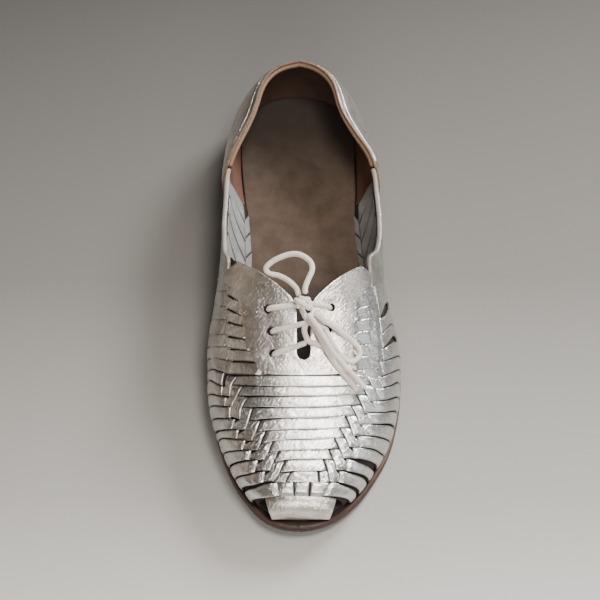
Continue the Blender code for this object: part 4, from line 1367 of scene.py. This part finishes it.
joined("lace_crossings", "cord", *(partial(tube, points=points) for points in BARS), slot="lace_cord",
       replaces=("lace_bars",))
joined("upper_backing", "backing", base_skin, replaces=("upper",))
joined("vamp_bars", "silver", vamp_bars)
for side, word in SIDES.items():
    joined(f"braid_strands_{word}", "silver", partial(strands, side=side))
    joined(f"side_strips_{word}", "silver", partial(outer_strips, side=side))
    band = [side_band] if side == OUTER else []
    joined(f"plate_straps_{word}", "silver", partial(plate_cells, side=side), *band)
joined("toe_loops", "silver", toe_loops)
joined("toe_strap", "plate", toe_strap)
throat_plate()
for side, word in SIDES.items():
    joined(f"collar_strap_{word}", "silver", partial(collar_strap, side=side))
    joined(f"quarter_strips_{word}", "silver", partial(quarter_outside, side=side))
    joined(f"quarter_facing_{word}", "facing", partial(quarter_inside, side=side))

counter = partial(heel_layer, front=counter_front, mid=1.05, thick=1.3, low=0.012, high=1.012, seed=301, ripple=0.3,
                  raw=1.0)
# The lining takes painted shade towards the back seam.
lining = partial(heel_layer, front=lining_front, mid=-0.66, thick=2.1, low=0.012, high=1.0, seed=302, ripple=0.15,
                 raw=1.0, back_shade=0.75)
band = partial(heel_layer, front=lambda at, side: 184.0, mid=1.6, thick=0.6, low=0.79, high=0.92, seed=303,
               ripple=0.1, raw=0.0, rows=5)
joined("heel_counter_shell", "plate", counter, replaces=("heel_counter",))
joined("heel_lining", "lining", lining)
joined("counter_band", "plate", band)

tread = partial(layer, inset=0.0, base=underside, thickness=OUTSOLE, ease=0.7, tread=0.5)
welt = partial(layer, inset=0.0, base=lambda u: underside(u) + OUTSOLE + GAP, thickness=MIDSOLE, ease=0.5, bow=0.15,
               ledge=1.3, tone=((0, 0.5), (12, 0.6), (34, 1.0)))
# The footbed's tone is painted shade: near black under the vamp and the slot, and darker again towards the heel,
# where its walls shade it; some of the darkening at the heel stands for wear.
bed = partial(layer, inset=LEDGE + WALL - 0.3, base=feather, thickness=INSOLE, ease=0.4, wave=0.25, tone=(
    (110, 0.02), (121, 0.10), (134, 0.75), (150, 1.0), (180, 0.85), (200, 0.5), (225, 0.1), (250, 0.03)))
joined("outsole_tread", "rubber", tread, slot="sole_rubber", replaces=("outsole",))
joined("midsole_edge", "edge", welt, slot="edge_leather", replaces=("midsole",))
joined("footbed", "bed", bed, slot="footbed_leather", replaces=("insole",))
joined("heel_lifts", "stack", heel_stack, slot="heel_stack", replaces=("heel",))


def light(name, place, aim, size, power, colour=(1, 1, 1)):
    data = bpy.data.lights.new(name, "AREA")
    data.shape = "RECTANGLE"
    data.size, data.size_y = size
    data.energy = power
    data.color = colour
    lamp = linked(name, data)
    lamp.location = place
    lamp.rotation_euler = (Vector(place) - Vector(aim)).to_track_quat("Z", "Y").to_euler()


def stage():
    mesh = bpy.data.meshes.new("floor")
    mesh.from_pydata([(-3, -3, 0), (3, -3, 0), (3, 3, 0), (-3, 3, 0)], [], [(0, 1, 2, 3)])
    mesh.materials.append(floor_paint("pale_floor_painted_light"))
    floor = linked("floor", mesh)
    world = bpy.data.worlds.new("studio")
    bpy.context.scene.world = world
    world.use_nodes = True
    tree = world.node_tree
    place = add_node(tree, "ShaderNodeTexCoord").outputs["Generated"]
    across = add_node(tree, "ShaderNodeSeparateXYZ", {0: place}).outputs["X"]
    part = add_node(tree, "ShaderNodeMapRange", {"Value": across, "From Min": -0.8, "From Max": 0.8}).outputs[0]
    tones = add_node(tree, "ShaderNodeValToRGB", {"Fac": part})
    tones.color_ramp.elements[0].color = (0.17, 0.115, 0.075, 1)
    tones.color_ramp.elements[1].color = (0.52, 0.545, 0.56, 1)
    feed(tree, tree.nodes["Background"].inputs[0], tones.outputs[0])
    tree.nodes["Background"].inputs[1].default_value = 0.26
    light("overhead", (0.15, -0.13, 0.9), (0, -0.06, 0), (0.26, 0.24), 6.6, (1.0, 0.945, 0.88))
    light("key_right", (0.46, 0.52, 0.52), (0, 0, 0.03), (0.26, 0.26), 10.5, (0.985, 0.99, 1.0))
    light("warm_left", (-0.85, -0.05, 0.34), (0, 0, 0.03), (0.5, 0.4), 0.4, (1.0, 0.87, 0.73))
    light("right_window", (0.9, -0.25, 0.45), (0, 0, 0.03), (0.45, 0.45), 1.4, (0.94, 0.98, 1.0))
    light("front_soft", (0.06, -0.95, 0.64), (0, -0.12, 0.02), (0.6, 0.36), 6.6, (1.0, 0.965, 0.92))


stage()
